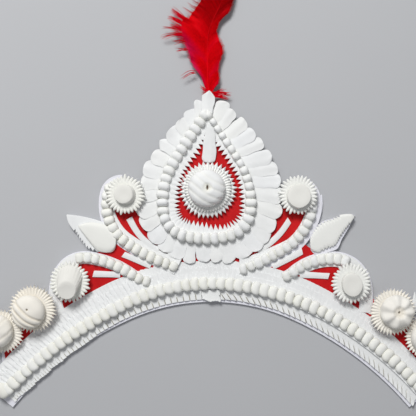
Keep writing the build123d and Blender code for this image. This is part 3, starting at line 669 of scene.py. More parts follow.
def tab_rings(first, last, foot, slit, pitch, floor, thick, lift, slant, ragged, chance):
    """Row of tabs slit from a strip, and their tones. A tab runs from the foot height to the comb's
    edge. Below the slit's top it leans along the arch by the slant, and its sides go down and are darkened
    with painted shade for the slits. Towards the edge its left side, or its right side for a negative lift,
    rises over its neighbour with the power of the place across it."""
    count = round((last - first) * half_brow / pitch)
    number = np.arange(count)[:, None, None]
    way = np.linspace(0, 1, 12)[:, None]
    side, down = np.array(slit_rows).T
    share_at = first + (last - first) * (number + 0.5) / count
    uneven = ragged * (wobble(chance, count, 1.0)[:, None, None] + 0.5 * (1 - 2 * side))
    plain_edge = column(comb_edge_rows, share_at, 1)
    edge_at = plain_edge + uneven
    height = foot + (edge_at - foot) * way
    top_of_slit = edge_at + slit * (1 + wobble(chance, count, 0.12)[:, None, None])
    free = np.clip((top_of_slit - height) / (top_of_slit - edge_at), 0, 1)
    lean = slant * np.clip((plain_edge + slit - height) / slit, 0, 1)
    share = share_at + (last - first) / count * (side - 0.5) + lean / half_brow
    open_at = np.clip(free * 5, 0, 1) * down
    raised = (side if lift < 0 else 1 - side) ** 1.5
    rise = abs(lift) * free * (1 + wobble(chance, count, 0.3)[:, None, None]) * raised
    z = floor + thick + rise - 0.85 * thick * open_at
    # Painted shade in the slits: the tone grows where the tab's sides go down
    tone = np.broadcast_to(0.1 + 1.8 * open_at, z.shape)
    rings = cut_sheet(with_height(arch(np.clip(share, -1, 1), height), z), thick * 0.9)
    return rings, np.concatenate([tone[..., :1], tone, tone[..., -1:], tone[..., ::-1]], -1)


# Stretches of the lower combs: (ends as shares of the arch, length of the slits, pitch, lift, slant,
# raggedness)
tab_stretches = {
    "comb_lower_left": (
        (-0.975, -0.70, 3.0, 2.2, 0.35, 0.1, 0.45), (-0.70, -0.46, 3.4, 3.3, 0.45, 0.2, 0.2),
        (-0.46, -0.012, 4.4, 4.5, 0.45, 0.3, 0.08),
    ),
    "comb_lower_right": ((0.012, 0.40, 4.4, 4.4, -1.2, 3.5, 0.08), (0.40, 0.99, 3.9, 4.4, -1.2, 4.0, 0.08)),
}
for node, stretches in tab_stretches.items():
    tabs = []
    for first, last, slit, pitch, lift, slant, ragged in stretches:
        rings, tone = tab_rings(
            first, last, tab_foot, slit, pitch, floor_of(node), tab_thick, lift, slant, ragged,
            np.random.default_rng(20))
        tabs.append(skin(rings, tone=tone))
    piece(node, "slit", tabs, white_pith)

# Samples across a pleat: (place across it, height share). It falls slowly and then rises steeply.
pleat_rows = ((0.0, 1.0), (0.15, 0.93), (0.32, 0.72), (0.5, 0.42), (0.68, 0.15), (0.82, 0.0), (0.93, 0.25))

# Where the look of the pleats changes along the arch
pleat_stops = (-0.35, -0.2, 0.05, 0.15)
pleat_thick = 0.6


def pleat_rings(low, high, pitch, depth, notch, slant, floor, thick, chance):
    """Strip with slanting pleats: across a pleat the surface falls slowly and rises steeply at the
    next, deepest halfway between the edges of the strip as a sine, and the outer edge is notched by the
    same wave."""
    count = round(2 * half_brow / pitch)
    across, fall = np.array(pleat_rows).T
    each = len(across)
    shift = np.repeat(wobble(chance, count, 0.12), each)
    share = (np.repeat(np.arange(count), each) + np.tile(across, count)) / count * 2 - 1
    share = np.clip(share + shift * 2 / count * np.tile(np.sin(across * np.pi), count), -1, 1)[:, None]
    fall = np.tile(fall, count)[:, None]
    way = np.linspace(0, 1, 12)
    uneven = np.repeat(wobble(chance, count, 0.3), each)[:, None]
    top_edge = high(share) + notch(share) * (fall - 0.6 + uneven)
    height = low + (top_edge - low) * way
    spot = arch(np.clip(share + slant * (way - 0.5) / half_brow, -1.0, 1.0), height)
    deep = depth(share) * np.repeat(1 + wobble(chance, count, 0.3), each)[:, None]
    z = floor + thick + deep * fall * np.sin(np.pi * (0.15 + 0.8 * way))
    return cut_sheet(with_height(spot, z)[None], thick)


def pleat_depth(left, centre, right):
    """Depth along the arch: one value on the left, one round the middle and one on the right."""
    return lambda share: np.interp(share, pleat_stops, (left, centre, centre, right))


def pleat_edge(high):
    """Upper edge along the arch: a plain height, or the band's outer edge where there is none."""
    if high is None:
        return lambda share: column(band_edge_rows, np.abs(share), 1) * band_width
    return lambda share: high


# Rows of pleats: (node, lower height, upper height or none for the band's edge, pitch, depths, notches,
# slant, lift)
pleat_looks = (
    ("comb_upper", 16.0, None, 2.7, (0.60, 0.40, 0.12), (0.0, 0.8, 0.1), -1.3, 0.0),
    ("comb_upper", 15.0, 25.0, 3.1, (0.65, 0.45, 0.12), (2.0, 1.4, 0.2), -1.3, 0.8),
    ("comb_middle", 9.5, 20.6, 2.8, (0.65, 0.50, 0.12), (2.0, 1.8, 0.2), -1.6, 0.4),
)
pleated = {"comb_upper": [], "comb_middle": []}
for number, (node, low, high, pitch, depths, notches, slant, lift) in enumerate(pleat_looks):
    rings = pleat_rings(
        low, pleat_edge(high), pitch, pleat_depth(*depths), pleat_depth(*notches), slant,
        floor_of(node) + lift, pleat_thick, np.random.default_rng(22 + number))
    pleated[node].append(skin(rings, tone=0.08))
for node, rows in pleated.items():
    piece(node, "pleated", rows, white_pith)

# Lower edge of the torn lap: (share of its width, dip below the node's edge)
lap_rows = ((0.0, -0.8), (0.12, -0.4), (0.45, 1.5), (0.6, 0.9), (0.85, 0.7), (1.0, 1.6))
lap_thick = 0.5


def lap_top():
    """Torn lap: a small sheet whose ends wander with two sines and whose lower edge dips and curls up
    by the cube."""
    way = np.linspace(0, 1, 30)[:, None]
    side = np.linspace(0, 1, 9)
    low, high = corner("comb_lap", 0), corner("comb_lap", 1)
    ends = 0.5 * np.sin(9.0 * side) + 0.3 * np.sin(23.0 * side)
    x = low[0] + ends + (high[0] - low[0]) * way
    dip = column(lap_rows, way, 1) + 0.15 * np.sin(41.0 * way)
    y = low[1] - dip * (1 - side) + (high[1] - low[1]) * side
    z = high[2] + 0.6 * (1 - side) ** 3
    return with_height(np.stack([x, y], -1), z)[None]


piece("comb_lap", "torn", [skin(cut_sheet(lap_top(), lap_thick), tone=0.15)], white_pith)


# Drop shaped middle

# Blade of a petal in millimetres: ripple of its edges, crown, curl of its tip and how uneven that is, and
# two dents of its face. Its points lie closer from a share of the way on.
petal_ripple, petal_crown, petal_curl, petal_curl_uneven = 0.22, 0.4, 0.35, 0.25
petal_dents = (0.14, 0.10)
petal_close_from = 0.66


def petal_rings(root, tip, side, width, root_width, point, tilt, floor, chance):
    """Petals from root to tip. The width grows from the root's to the full one and ends in a cap, a
    superellipse that is pointed for a power of one and blunt for three. The lower side lifts over the
    next petal by the tilt, the middle crowns by a half cosine, the tip curls up by the cube, and crossing
    sines dent the face."""
    count = len(root)
    length = np.linalg.norm(tip - root, axis=1)
    ahead = (tip - root) / length[:, None]
    beside = np.stack([ahead[:, 1], -ahead[:, 0]], -1) * side[:, None]
    cap_way = np.sin(np.linspace(0, 1, 13)[1:] * np.pi / 2 * blunt_end)
    cap_way = petal_close_from + (1 - petal_close_from) * cap_way
    way = np.concatenate([np.linspace(0, petal_close_from, 9), cap_way])
    round_from = 1 - 0.46 * width[:, None] / length[:, None]
    cap = np.clip((way - round_from) / (1 - round_from), 0, 1)
    grow = np.clip(way / np.maximum(round_from, 0.2), 0, 1)
    body = root_width + (width[:, None] - root_width) * np.sin(grow * np.pi / 2)
    half = body / 2 * (1 - cap ** point[:, None]) ** (1 / point[:, None])
    across = np.linspace(-1, 1, 11)
    phase = chance.uniform(0, 6, (3, count, 1, 1))
    edge_ripple = petal_ripple * np.sin(way[:, None] * 13.0 + phase[0]) * np.abs(across) ** 3
    out = half[..., None] * across + edge_ripple * np.minimum(half[..., None] / 3, 1)
    out = out + (wobble(chance, count, 0.9)[:, None] * cap ** 2)[..., None]
    place = root[:, None, None] + ahead[:, None, None] * (length[:, None] * way)[..., None, None]
    place = place + beside[:, None, None] * out[..., None]
    lean = tilt[:, None, None] * (0.5 + 0.5 * across) * np.minimum(way[:, None] * 2, 1)
    curl = (petal_curl + wobble(chance, count, petal_curl_uneven))[:, None, None] * way[:, None] ** 3
    dent = petal_dents[0] * np.sin(across * 5.0 + phase[1]) * way[:, None]
    dent = dent + petal_dents[1] * np.sin(way[:, None] * 9 + phase[2])
    z = floor + petal_thick + lean + petal_crown * np.cos(across * np.pi / 2) + curl + dent
    return cut_sheet(with_height(place, z), petal_thick)


# Petals that were cut apart from the rest: (number, width, power of the cap)
odd_petals = ((1, 10.5, 2.0), (18, 9.0, 2.8), (28, 9.5, 1.2), (32, 7.5, 1.7))

# How far the tips stand off the outline, how much wider the petals are and how high their lower sides lie:
# (share round the drop, millimetres)
petal_reach_rows = (
    (0.0, 1.0), (0.03, -0.2), (0.07, -1.8), (0.22, -1.6), (0.30, -0.2), (0.52, 0.0),
    (0.545, 1.3), (0.576, 2.6), (0.606, 2.4), (0.636, 3.6), (0.667, 4.4), (0.697, 3.6),
    (0.727, 2.0), (0.77, 0.8), (0.82, 0.0), (0.94, 0.0), (0.97, 2.0), (1.0, 2.0),
)
petal_width_rows = (
    (0.0, -1.4), (0.05, -1.8), (0.25, -1.8), (0.33, 0.0), (0.54, 0.0),
    (0.58, 1.2), (0.70, 1.2), (0.75, 0.0), (1.0, 0.0),
)
petal_tilt_rows = ((0.0, 0.3), (0.1, 0.45), (0.3, 0.6), (0.45, 0.35), (0.55, 0.4), (0.68, 0.9), (1.0, 0.9))

# Points of the two lines round the drop that the petals run between, forty for each petal
petal_samples = 40 * petal_count


def petals(first, seed):
    """Every second petal round the drop, each over the one below it on its side."""
    chance = np.random.default_rng(seed)
    number = np.arange(first, petal_count, 2)
    share = (number + wobble(chance, len(number), 0.10)) / petal_count
    at = np.round(share * petal_samples).astype(int)
    tip, edge = petal_line(petal_samples)[at], drop_line(petal_samples)[at]
    ahead = (tip - edge) / np.linalg.norm(tip - edge, axis=1)[:, None]
    tip = tip + ahead * (column(petal_reach_rows, share, 1) + wobble(chance, len(number), 0.5))[:, None]
    width = petal_width + column(petal_width_rows, share, 1) + wobble(chance, len(number), 0.8)
    point = chance.uniform(1.9, 3.0, len(number))
    for odd, odd_width, odd_point in odd_petals:
        width = np.where(number == odd, odd_width, width)
        point = np.where(number == odd, odd_point, point)
    side = np.where(share < 0.5, 1.0, -1.0)
    root_width = np.minimum(petal_root_width, 0.8 * width)[:, None]
    rings = petal_rings(
        edge - ahead * 0.6, tip, side, width, root_width, point, column(petal_tilt_rows, share, 1),
        floor_of("petals_under"), chance)
    return skin(rings, tone=chance.uniform(0.0, 0.25, len(number)))


piece("petals_under", "cut", [petals(1, 30)], white_pith)
piece("petals_over", "cut", [petals(2, 31)], white_pith)


def lone_petal(node, root, tip, width, root_width, point, climb, seed):
    """One petal that climbs evenly towards its root."""
    chance = np.random.default_rng(seed)
    rings = petal_rings(
        np.array([root]), np.array([tip]), np.ones(1), np.array([width]), root_width, np.array([point]),
        np.zeros(1), floor_of(node), chance)
    rings[..., 2] += climb * np.linspace(1, 0, rings.shape[1])[:, None]
    piece(node, "cut", [skin(rings, tone=0.1)], white_pith)


tip_root = (drop_shift, corner("tip_petal", 0)[1])
tip_end = (middle("tip_petal")[0] - 0.6, corner("tip_petal", 1)[1] - 1.0)
lone_petal("tip_petal", tip_root, tip_end, width=9.2, root_width=7.5, point=1.1, climb=0.0, seed=36)
inner_root = (middle("inner_petal")[0] + 0.8, corner("inner_petal", 1)[1] + 2.0)
inner_end = (middle("inner_petal")[0], corner("inner_petal", 0)[1])
inner_climb = top_of("drop_saw") - floor_of("inner_petal") + 0.8
lone_petal(
    "inner_petal", inner_root, inner_end, width=9.6, root_width=5.4, point=2.8, climb=inner_climb, seed=33)

# Plain width of the saw edged strip: (share round the drop, clockwise from its tip, millimetres)
saw_rows = (
    (0.0, 6.5), (0.06, 6.0), (0.12, 3.4), (0.35, 3.2), (0.42, 4.4), (0.47, 5.0), (0.50, 7.0), (0.54, 8.0),
    (0.62, 7.8), (0.80, 7.6), (0.92, 7.2), (1.0, 6.5),
)
saw_pitch, saw_tooth, saw_thick = 3.7, 4.2, 0.6

# Points of the line that the saw follows, and points along a tooth
saw_samples, tooth_steps = 4000, 10


def saw_rings(chance):
    """Strip inside the drop's beads. Its inner edge is a triangle wave towards the heart with uneven
    lengths, and neither half of it crosses the drop's axis."""
    line = drop_line(saw_samples)
    count = round(run_along(line)[-1] / saw_pitch)
    spot, outward, share = [values[:-1] for values in along_line(line, count * tooth_steps + 1)]
    wave = 1 - np.abs(2 * (np.arange(count * tooth_steps) / tooth_steps % 1) - 1)
    tooth = np.repeat(saw_tooth + wobble(chance, count, 0.5), tooth_steps)
    side = np.linspace(0, 1, 6)
    reach = 0.4 + (column(saw_rows, share, 1) + tooth * wave)[:, None] * side
    place = spot[:, None] - outward[:, None] * reach[..., None]
    half = np.where(share < 0.5, 1.0, -1.0)[:, None]
    place[..., 0] = drop_shift + half * np.maximum(half * (place[..., 0] - drop_shift), 0.02)
    droop = np.repeat(wobble(chance, count, 0.25), tooth_steps)[:, None] * side ** 2 * wave[:, None]
    z = floor_of("drop_saw") + saw_thick + 0.1 - 0.25 * side * (1 - wave[:, None]) + droop
    return cut_sheet(with_height(place, z)[None], saw_thick)


piece("drop_saw", "cut", [skin(saw_rings(np.random.default_rng(34)), loop=True, tone=0.1)], white_pith)


# Rosettes

# Profile of a toothed disc from its foot up and over: (share of the radius, share of the thickness,
# how far the teeth reach there, how high the ribs stand there)
disc_rows = (
    (0.42, 0.0, 0.0, 0.0),
    (0.80, 0.05, 0.3, 0.0),
    (1.0, 0.25, 1.0, 0.0),
    (1.0, 0.70, 1.0, 0.5),
    (0.95, 0.95, 0.8, 0.9),
    (0.86, 1.0, 0.4, 0.8),
    (0.76, 1.0, 0.1, 0.3),
    (0.66, 0.97, 0.0, 0.0),
    (0.45, 0.9, 0.0, 0.0),
    (0.05, 0.9, 0.0, 0.0),
)


def disc_rings(place, radius, foot, floor, thick, core, teeth, depth, rib, blunt, near, chance):
    """Toothed disc on a core. Round the disc each tooth is one minus a power of the distance from its
    middle, sharper for a lower power. It moves the rim in and out by the depth and raises a rib along
    each tooth. The near factor draws the ribbed rows towards the rim."""
    turn = np.arange(teeth * tooth_steps) / (teeth * tooth_steps) * 2 * np.pi
    wave = ridge(np.arange(teeth * tooth_steps) / tooth_steps % 1, blunt)
    longer = np.repeat(wobble(chance, teeth, 0.18), tooth_steps)
    lift = np.repeat(wobble(chance, teeth, 0.20), tooth_steps)
    reach, rise, tooth, rise_of_rib = np.array(disc_rows).T[:, :, None]
    reach = np.where(reach > 0.6, 1 - (1 - reach) * near, reach)
    out = reach * (radius - depth) + tooth * depth * (1 + longer) * wave
    z = floor + thick * rise + rib * rise_of_rib * (wave - 0.5) + lift * tooth * wave
    out = np.concatenate([np.full((2, len(turn)), core), out])
    z = np.concatenate([np.full((1, len(turn)), foot), np.full((1, len(turn)), floor), z])
    return np.stack([place[0] + out * np.cos(turn), place[1] + out * np.sin(turn), z], -1)[None]


# Discs of the rosettes: (name, sideways and upward shift, depth of a tooth, power of a tooth, tone)
disc_looks = (
    ("upper_rosette_left", 0.0, 0.0, 2.5, 1.8, 0.70),
    ("upper_rosette_right", 0.0, 1.0, 2.5, 1.8, 0.50),
    ("lower_rosette_left", 1.4, 1.4, 2.5, 1.8, 0.70),
    ("lower_rosette_right", -1.4, 2.0, 2.5, 1.8, 0.50),
    ("inner_end_rosette_left", 2.2, 1.8, 2.2, 0.7, 0.60),
    ("inner_end_rosette_right", -2.2, 0.8, 2.2, 0.7, 0.40),
    ("outer_end_rosette_left", 3.0, 2.2, 2.2, 0.7, 0.50),
    ("outer_end_rosette_right", 0.0, 0.0, 2.2, 0.7, 0.30),
)
disc_thick, disc_core, disc_rib = 2.0, 2.8, 0.9

# Discs with blunt pegs and discs with points: (pitch of the teeth, near factor, material, slot)
peg_disc = (2.9, 0.55, white_pith, "white_pith")
point_disc = (2.6, 1.0, cream_pith, "cream_pith")

for number, (node, right, up, depth, blunt, tone) in enumerate(disc_looks):
    pitch, near, material, slot = point_disc if "end" in node else peg_disc
    teeth = round(2 * np.pi * radius_of(node) / pitch)
    rings = disc_rings(
        middle(node) + [right, up, 0], radius_of(node) + 0.3, floor_of(node), top_of(node) - disc_thick,
        disc_thick, disc_core, teeth, depth, disc_rib, blunt, near, np.random.default_rng(51 + number))
    piece(node, "toothed", [skin(rings, tone=tone)], material, crease=60.0)

# Profile of a cut button: (share of the radius, share of the height)
button_rows = (
    (0.10, 0.0), (0.96, 0.0), (1.0, 0.10), (1.01, 0.55), (1.0, 0.86),
    (0.97, 0.96), (0.91, 1.0), (0.50, 0.97), (0.08, 0.95),
)

# Buttons: (name, shift of the foot, shift of the top, radii of the foot, radii of the top, height, tone)
button_looks = (
    ("upper_rosette_button_left", (0.5, 0.3), (-0.8, 0.4), (7.2, 7.2), (6.6, 6.7), 4.2, 0.35),
    ("upper_rosette_button_right", (0.0, 0.0), (0.2, 0.2), (8.4, 8.8), (8.0, 8.5), 4.2, 0.15),
    ("lower_rosette_button_left", (1.6, 5.2), (0.7, -3.6), (9.0, 8.5), (6.8, 6.6), 6.5, 0.55),
    ("lower_rosette_button_right", (-1.4, 1.5), (-1.4, 1.3), (7.2, 8.4), (7.0, 8.2), 4.2, 0.25),
)


def button_rings(node, foot, top, foot_radii, top_radii, height, chance):
    """Drum whose shift and radii change evenly from foot to top. Two sines make it a little out of
    round, a third one cuts flutes into the foot of a flared one, and its face tips down the way that it
    leans."""
    turn = full_turn(72)
    reach, rise = np.array(button_rows).T[:, :, None]
    oval = 1 + 0.02 * np.sin(2 * turn + chance.uniform(0, 6))
    oval = oval + 0.012 * np.sin(5 * turn + chance.uniform(0, 6))
    flutes = 0.035 if foot_radii[0] > top_radii[0] + 2 else 0.0
    oval = oval + flutes * np.sin(20 * turn) * (1 - rise)
    x, y = [
        middle(node)[axis] + foot[axis] + (top[axis] - foot[axis]) * rise
        + reach * oval * (foot_radii[axis] + (top_radii[axis] - foot_radii[axis]) * rise) * wave
        for axis, wave in enumerate((np.cos(turn), np.sin(turn)))
    ]
    tilt = -0.12 * ((top[0] - foot[0]) * np.cos(turn) + (top[1] - foot[1]) * np.sin(turn)) * reach * rise
    return np.stack([x, y, floor_of(node) + height * rise + tilt], -1)[None]


for number, (node, *looks, tone) in enumerate(button_looks):
    rings = button_rings(node, *looks, np.random.default_rng(70 + number))
    piece(node, "turned", [skin(rings, tone=tone)], cut_pith, crease=34.0)


def dome_skin(node, shift, grooves, slant, lobes, pin, recess, tone, chance):
    """Bun of pith: the height falls from the top as a squashed circle, slanting grooves are bell curves
    across the bun, lobes are a cosine round it, and the pin hole and the recess round it are bells. The
    pin is (sideways and upward place, half width and half height, depth), the recess its radius, depth
    and tone, as shares of the bun."""
    place, radius, floor = middle(node) + [0, shift, 0], radius_of(node), floor_of(node)
    height, slant = top_of(node) - floor, np.radians(slant)
    turn = full_turn(144)
    fall = np.linspace(0, 1, 46)[::-1][:-1]
    reach = np.concatenate([[0.25, 0.8, 0.93], np.sin(fall * np.pi / 2) ** 0.9, [0.008]])[:, None]
    up = np.concatenate([[0.0, 0.0, 0.08], 0.18 + 0.82 * np.cos(fall * np.pi / 2) ** 0.75, [1.0]])[:, None]
    x, y = reach * np.cos(turn), reach * np.sin(turn)
    bend = 0.10 * np.sin(2.2 * (x * np.cos(slant) + y * np.sin(slant)) + 1.0)
    across = -x * np.sin(slant) + y * np.cos(slant) + bend
    shown = np.clip((up - 0.15) * 4, 0, 1)
    cut = sum(deep * np.exp(-((across - at) / wide) ** 2) for at, deep, wide in grooves) * shown
    scallop = np.cos(lobes[0] * turn + 0.5 * np.sin(turn)) - 0.3
    scallop = lobes[1] * scallop * np.clip(reach * 1.6 - 0.25, 0, 1) * shown
    hole = np.exp(-np.hypot((x - pin[0]) / pin[2], (y - pin[1]) / pin[3]) ** 4)
    patch = np.exp(-(np.hypot(x - pin[0], y - pin[1]) / recess[0]) ** 4)
    uneven = 0.02 * np.sin(5 * x + chance.uniform(0, 6)) * np.sin(6 * y + chance.uniform(0, 6)) * shown
    shrink = 1 - 0.5 * np.where(reach > 0.8, cut, 0) + 0.35 * scallop
    z = floor + height * (up - cut + 0.8 * scallop - pin[4] * hole - recess[1] * patch + uneven)
    flat = place[:2] + radius * np.stack([x * shrink, y * shrink], -1)
    # Painted shade: the tone darkens in the grooves, and the pin hole takes the painted dark; the recess
    # takes its listed tone
    shade = tone + 0.8 * np.clip(cut / 0.12, 0, 1) + (recess[2] - tone) * patch + (2.0 - recess[2]) * hole
    return skin(with_height(flat, np.maximum(z, floor))[None], tone=shade[None])


# Grooves: (place across the bun, depth, width), as shares of its radius
bun_grooves = ((0.02, 0.11, 0.08), (-0.36, 0.12, 0.08), (-0.66, 0.08, 0.08))
twist_grooves = ((0.60, 0.045, 0.09), (0.22, 0.04, 0.08), (-0.18, 0.045, 0.09), (-0.55, 0.05, 0.09))
soft_grooves = ((0.30, 0.04, 0.10), (-0.45, 0.05, 0.10))
no_grooves = ((3.0, 0.0, 1.0),)

# Domes: (name, upward shift, grooves, slant in degrees, number and height of lobes, pin, recess, tone)
dome_looks = (
    (
        "inner_end_rosette_dome_left", 0.0, bun_grooves, -33.0, (5, 0.01),
        (0.05, 0.20, 0.05, 0.05, 0.15), (0.10, 0.03, 0.6), 0.35,
    ),
    (
        "inner_end_rosette_dome_right", 1.2, no_grooves, 0.0, (7, 0.10),
        (0.03, 0.02, 0.05, 0.06, 0.2), (0.34, 0.22, 0.9), 0.1,
    ),
    (
        "outer_end_rosette_dome_left", 3.0, soft_grooves, 35.0, (5, 0.03),
        (0.03, 0.02, 0.05, 0.05, 0.15), (0.10, 0.03, 0.6), 0.3,
    ),
    (
        "outer_end_rosette_dome_right", 0.0, soft_grooves, -60.0, (6, 0.03),
        (0.03, 0.02, 0.05, 0.05, 0.15), (0.12, 0.03, 0.6), 0.1,
    ),
    (
        "centre_dome", 3.6, twist_grooves, -28.0, (3, 0.012),
        (0.045, 0.02, 0.05, 0.12, 0.2), (0.24, 0.10, 1.0), 0.1,
    ),
)
for number, (node, *looks) in enumerate(dome_looks):
    dome = dome_skin(node, *looks, np.random.default_rng(80 + number))
    material = white_pith if node == "centre_dome" else cream_pith
    piece(node, "carved", [dome], material, crease=70.0)


def centre_disc_piece():
    """Wide toothed disc with a smaller finely ribbed one lying on it."""
    node = "centre_disc"
    chance = np.random.default_rng(85)
    place, radius, foot = middle(node) + [1.0, 2.6, 0], radius_of(node) - 1.0, floor_of(node)
    lower = disc_rings(
        place, radius + 0.2, foot, foot + 1.5, thick=1.8, core=9.7, teeth=38, depth=3.2, rib=0.8, blunt=0.9,
        near=1.0, chance=chance)
    upper = disc_rings(
        place + [0, 0.8, 0], radius - 3.6, foot + 2.6, foot + 3.0, thick=top_of(node) - foot - 2.6,
        core=9.0, teeth=50, depth=1.4, rib=0.8, blunt=1.3, near=1.0, chance=chance)
    piece(node, "toothed", [skin(lower, tone=0.2), skin(upper, tone=0.4)], white_pith, crease=60.0)


centre_disc_piece()


# Leaves and sticks

upper_lobe_height = 85.0
leaf_length, leaf_width = 39.0, 20.0

# Leaves: (foot as share along the arch and share of upper_lobe_height, heading in degrees, size)
leaf_places = {"left": (0.311, 0.641, 31.7, 1.0), "right": (0.316, 0.673, 30.1, 0.93)}

# Edges of the leaves from foot to tip: (share of leaf_length, share of leaf_width)
left_leaf_up = (
    (-0.03, 0.12), (0.03, 0.24), (0.15, 0.36), (0.36, 0.47), (0.47, 0.42), (0.63, 0.33), (0.80, 0.21),
    (1.02, 0.01),
)
left_leaf_low = (
    (-0.03, 0.12), (-0.06, -0.02), (-0.05, -0.27), (0.15, -0.50), (0.37, -0.63), (0.55, -0.51),
    (0.73, -0.35), (0.89, -0.21), (1.02, 0.01),
)
left_front_up = (
    (-0.03, 0.13), (0.02, 0.25), (0.15, 0.36), (0.30, 0.42), (0.46, 0.33), (0.63, 0.12), (0.72, -0.11),
)
left_front_low = (
    (-0.03, 0.13), (-0.06, -0.02), (-0.05, -0.24), (0.17, -0.47), (0.47, -0.31), (0.72, -0.11),
)
right_leaf_up = (
    (-0.06, -0.10), (-0.02, 0.07), (0.11, 0.32), (0.28, 0.45), (0.43, 0.45), (0.55, 0.39), (0.66, 0.36),
    (0.83, 0.25), (0.95, 0.10), (0.97, -0.01),
)
right_leaf_low = (
    (-0.06, -0.10), (-0.10, -0.28), (-0.08, -0.46), (0.0, -0.61), (0.20, -0.70), (0.33, -0.75),
    (0.54, -0.51), (0.79, -0.24), (0.97, -0.01),
)
leaf_samples = 160


def smooth_edge(rows, count):
    """Edge through the rows by pieces of cubic whose slope at a row is that of the chord past it."""
    rows = np.array(rows)
    run = run_along(rows)
    slope = np.gradient(rows, run, axis=0)
    at = np.linspace(0, run[-1], count)
    left = np.clip(np.searchsorted(run, at, "right") - 1, 0, len(rows) - 2)
    gap = (run[left + 1] - run[left])[:, None]
    t = (at - run[left])[:, None] / gap
    return (
        (2 * t ** 3 - 3 * t ** 2 + 1) * rows[left] + (t ** 3 - 2 * t ** 2 + t) * gap * slope[left]
        + (3 * t ** 2 - 2 * t ** 3) * rows[left + 1] + (t ** 3 - t ** 2) * gap * slope[left + 1]
    )


def saw_along(edge, teeth, depth, first, last):
    """Saw on an edge between two shares of its length, as sideways shares of leaf_width: it grows evenly
    to its depth along a tooth and drops back."""
    share = np.clip((np.linspace(0, 1, len(edge)) - first) / (last - first), 0, 1)
    shown = (share > 0) & (share < 1)
    return np.where(shown, depth * (share * teeth % 1), 0.0)


def leaf_skin(side, upper_rows, lower_rows, upper_saw, lower_saw, floor, thick, crown, inset, tone):
    """Leaf from its lower to its upper edge in straight lines, with a saw cut into either edge. Its
    face is a pillow: the crown times the root of one minus the fourth power of the way from the middle
    to either edge, times a quarter sine near both ends."""
    share, height, degrees, size = leaf_places[side]
    sign = -1 if side == "left" else 1
    upper, lower = smooth_edge(upper_rows, leaf_samples), smooth_edge(lower_rows, leaf_samples)
    upper[:, 1] -= saw_along(upper, *upper_saw)
    lower[:, 1] += saw_along(lower, *lower_saw)
    blend = np.linspace(inset[0], 1 - inset[1], 13)[:, None]
    flat = (lower[:, None] * (1 - blend) + upper[:, None] * blend) * [leaf_length * size, leaf_width * size]
    ahead = np.array([sign * np.cos(np.radians(degrees)), np.sin(np.radians(degrees))])
    aside = np.array([-ahead[1], ahead[0]]) * sign
    foot = arch(sign * share, height * upper_lobe_height)
    place = foot + flat[..., :1] * ahead + flat[..., 1:] * aside
    from_end = np.minimum(np.arange(leaf_samples), np.arange(leaf_samples)[::-1])
    ends = np.clip(from_end / 24, 0, 1)[:, None]
    across = np.linspace(-1, 1, 13)
    pillow = np.sqrt(1 - across ** 4 + 0.001) * np.sin(ends * np.pi / 2)
    top = with_height(place, floor + thick + crown * pillow)
    return skin(cut_sheet(top[2:-2][None], thick), tone=tone)


# Saws of the edges: (number of teeth, depth as share of leaf_width, shares of the edge between which
# they stand)
plain_edge = (1, 0.0, 0.0, 1.0)
back_saw = (9.0, 0.11, 0.40, 0.76)
right_saw, right_lower_saw = (14.0, 0.12, 0.10, 0.72), (14.0, 0.08, 0.30, 0.85)
back_left, front_left = floor_of("leaf_back_left"), floor_of("leaf_front_left") + 0.2
back_right, front_right = floor_of("leaf_back_right"), floor_of("leaf_front_right") + 0.2
leaf_skins = {
    "leaf_back_left": leaf_skin(
        "left", left_leaf_up, left_leaf_low, plain_edge, back_saw, back_left,
        thick=0.7, crown=0.2, inset=(0.0, 0.0), tone=0.05),
    "leaf_front_left": leaf_skin(
        "left", left_front_up, left_front_low, plain_edge, plain_edge, front_left,
        thick=1.0, crown=1.3, inset=(0.0, 0.0), tone=0.6),
    "leaf_back_right": leaf_skin(
        "right", right_leaf_up, right_leaf_low, plain_edge, plain_edge, back_right,
        thick=0.7, crown=0.1, inset=(0.0, 0.10), tone=0.0),
    "leaf_front_right": leaf_skin(
        "right", right_leaf_up, right_leaf_low, right_saw, right_lower_saw, front_right,
        thick=0.9, crown=1.0, inset=(0.13, 0.0), tone=0.5),
}
for node, shape in leaf_skins.items():
    piece(node, "cut", [shape], card_white if node == "leaf_back_right" else white_pith)

# Sticks: (name, side, outer end and lower end, each as share along the arch and share of upper_lobe_height,
# bow away from the drop's foot in millimetres)
stick_rows = (
    ("upper_stick", "left", 0.241, 0.804, 0.177, 0.482, 2.7),
    ("upper_stick", "right", 0.233, 0.779, 0.158, 0.465, 2.3),
    ("middle_stick", "left", 0.293, 0.530, 0.214, 0.370, 0.0),
    ("middle_stick", "right", 0.300, 0.564, 0.220, 0.363, 0.0),
    ("lower_stick", "left", 0.415, 0.479, 0.327, 0.379, 0.0),
    ("lower_stick", "right", 0.419, 0.462, 0.320, 0.374, 0.0),
)
stick_width, stick_thick, stick_crown = 4.1, 0.8, 0.3


def stick_skin(start, end, bow, floor, chance):
    """Flat stick: its middle bows by a half sine, its width wanders with a sine and its face is crowned
    by a cosine."""
    way = np.linspace(0, 1, 20)[:, None]
    across = np.linspace(-1, 1, 7)
    ahead = (end - start) / np.linalg.norm(end - start)
    beside = np.array([-ahead[1], ahead[0]])
    half = stick_width / 2 * (1 + 0.05 * np.sin(way * 5 + chance.uniform(0, 6)))
    cut_end = ahead * (0.5 * across * (1 - way))[..., None]
    bowed = half * across + bow * np.sin(np.pi * way)
    place = start + (end - start) * way[..., None] + cut_end + beside * bowed[..., None]
    z = floor + stick_thick + stick_crown * np.cos(across * np.pi / 2)
    return skin(cut_sheet(with_height(place, z)[None], stick_thick), tone=0.1)


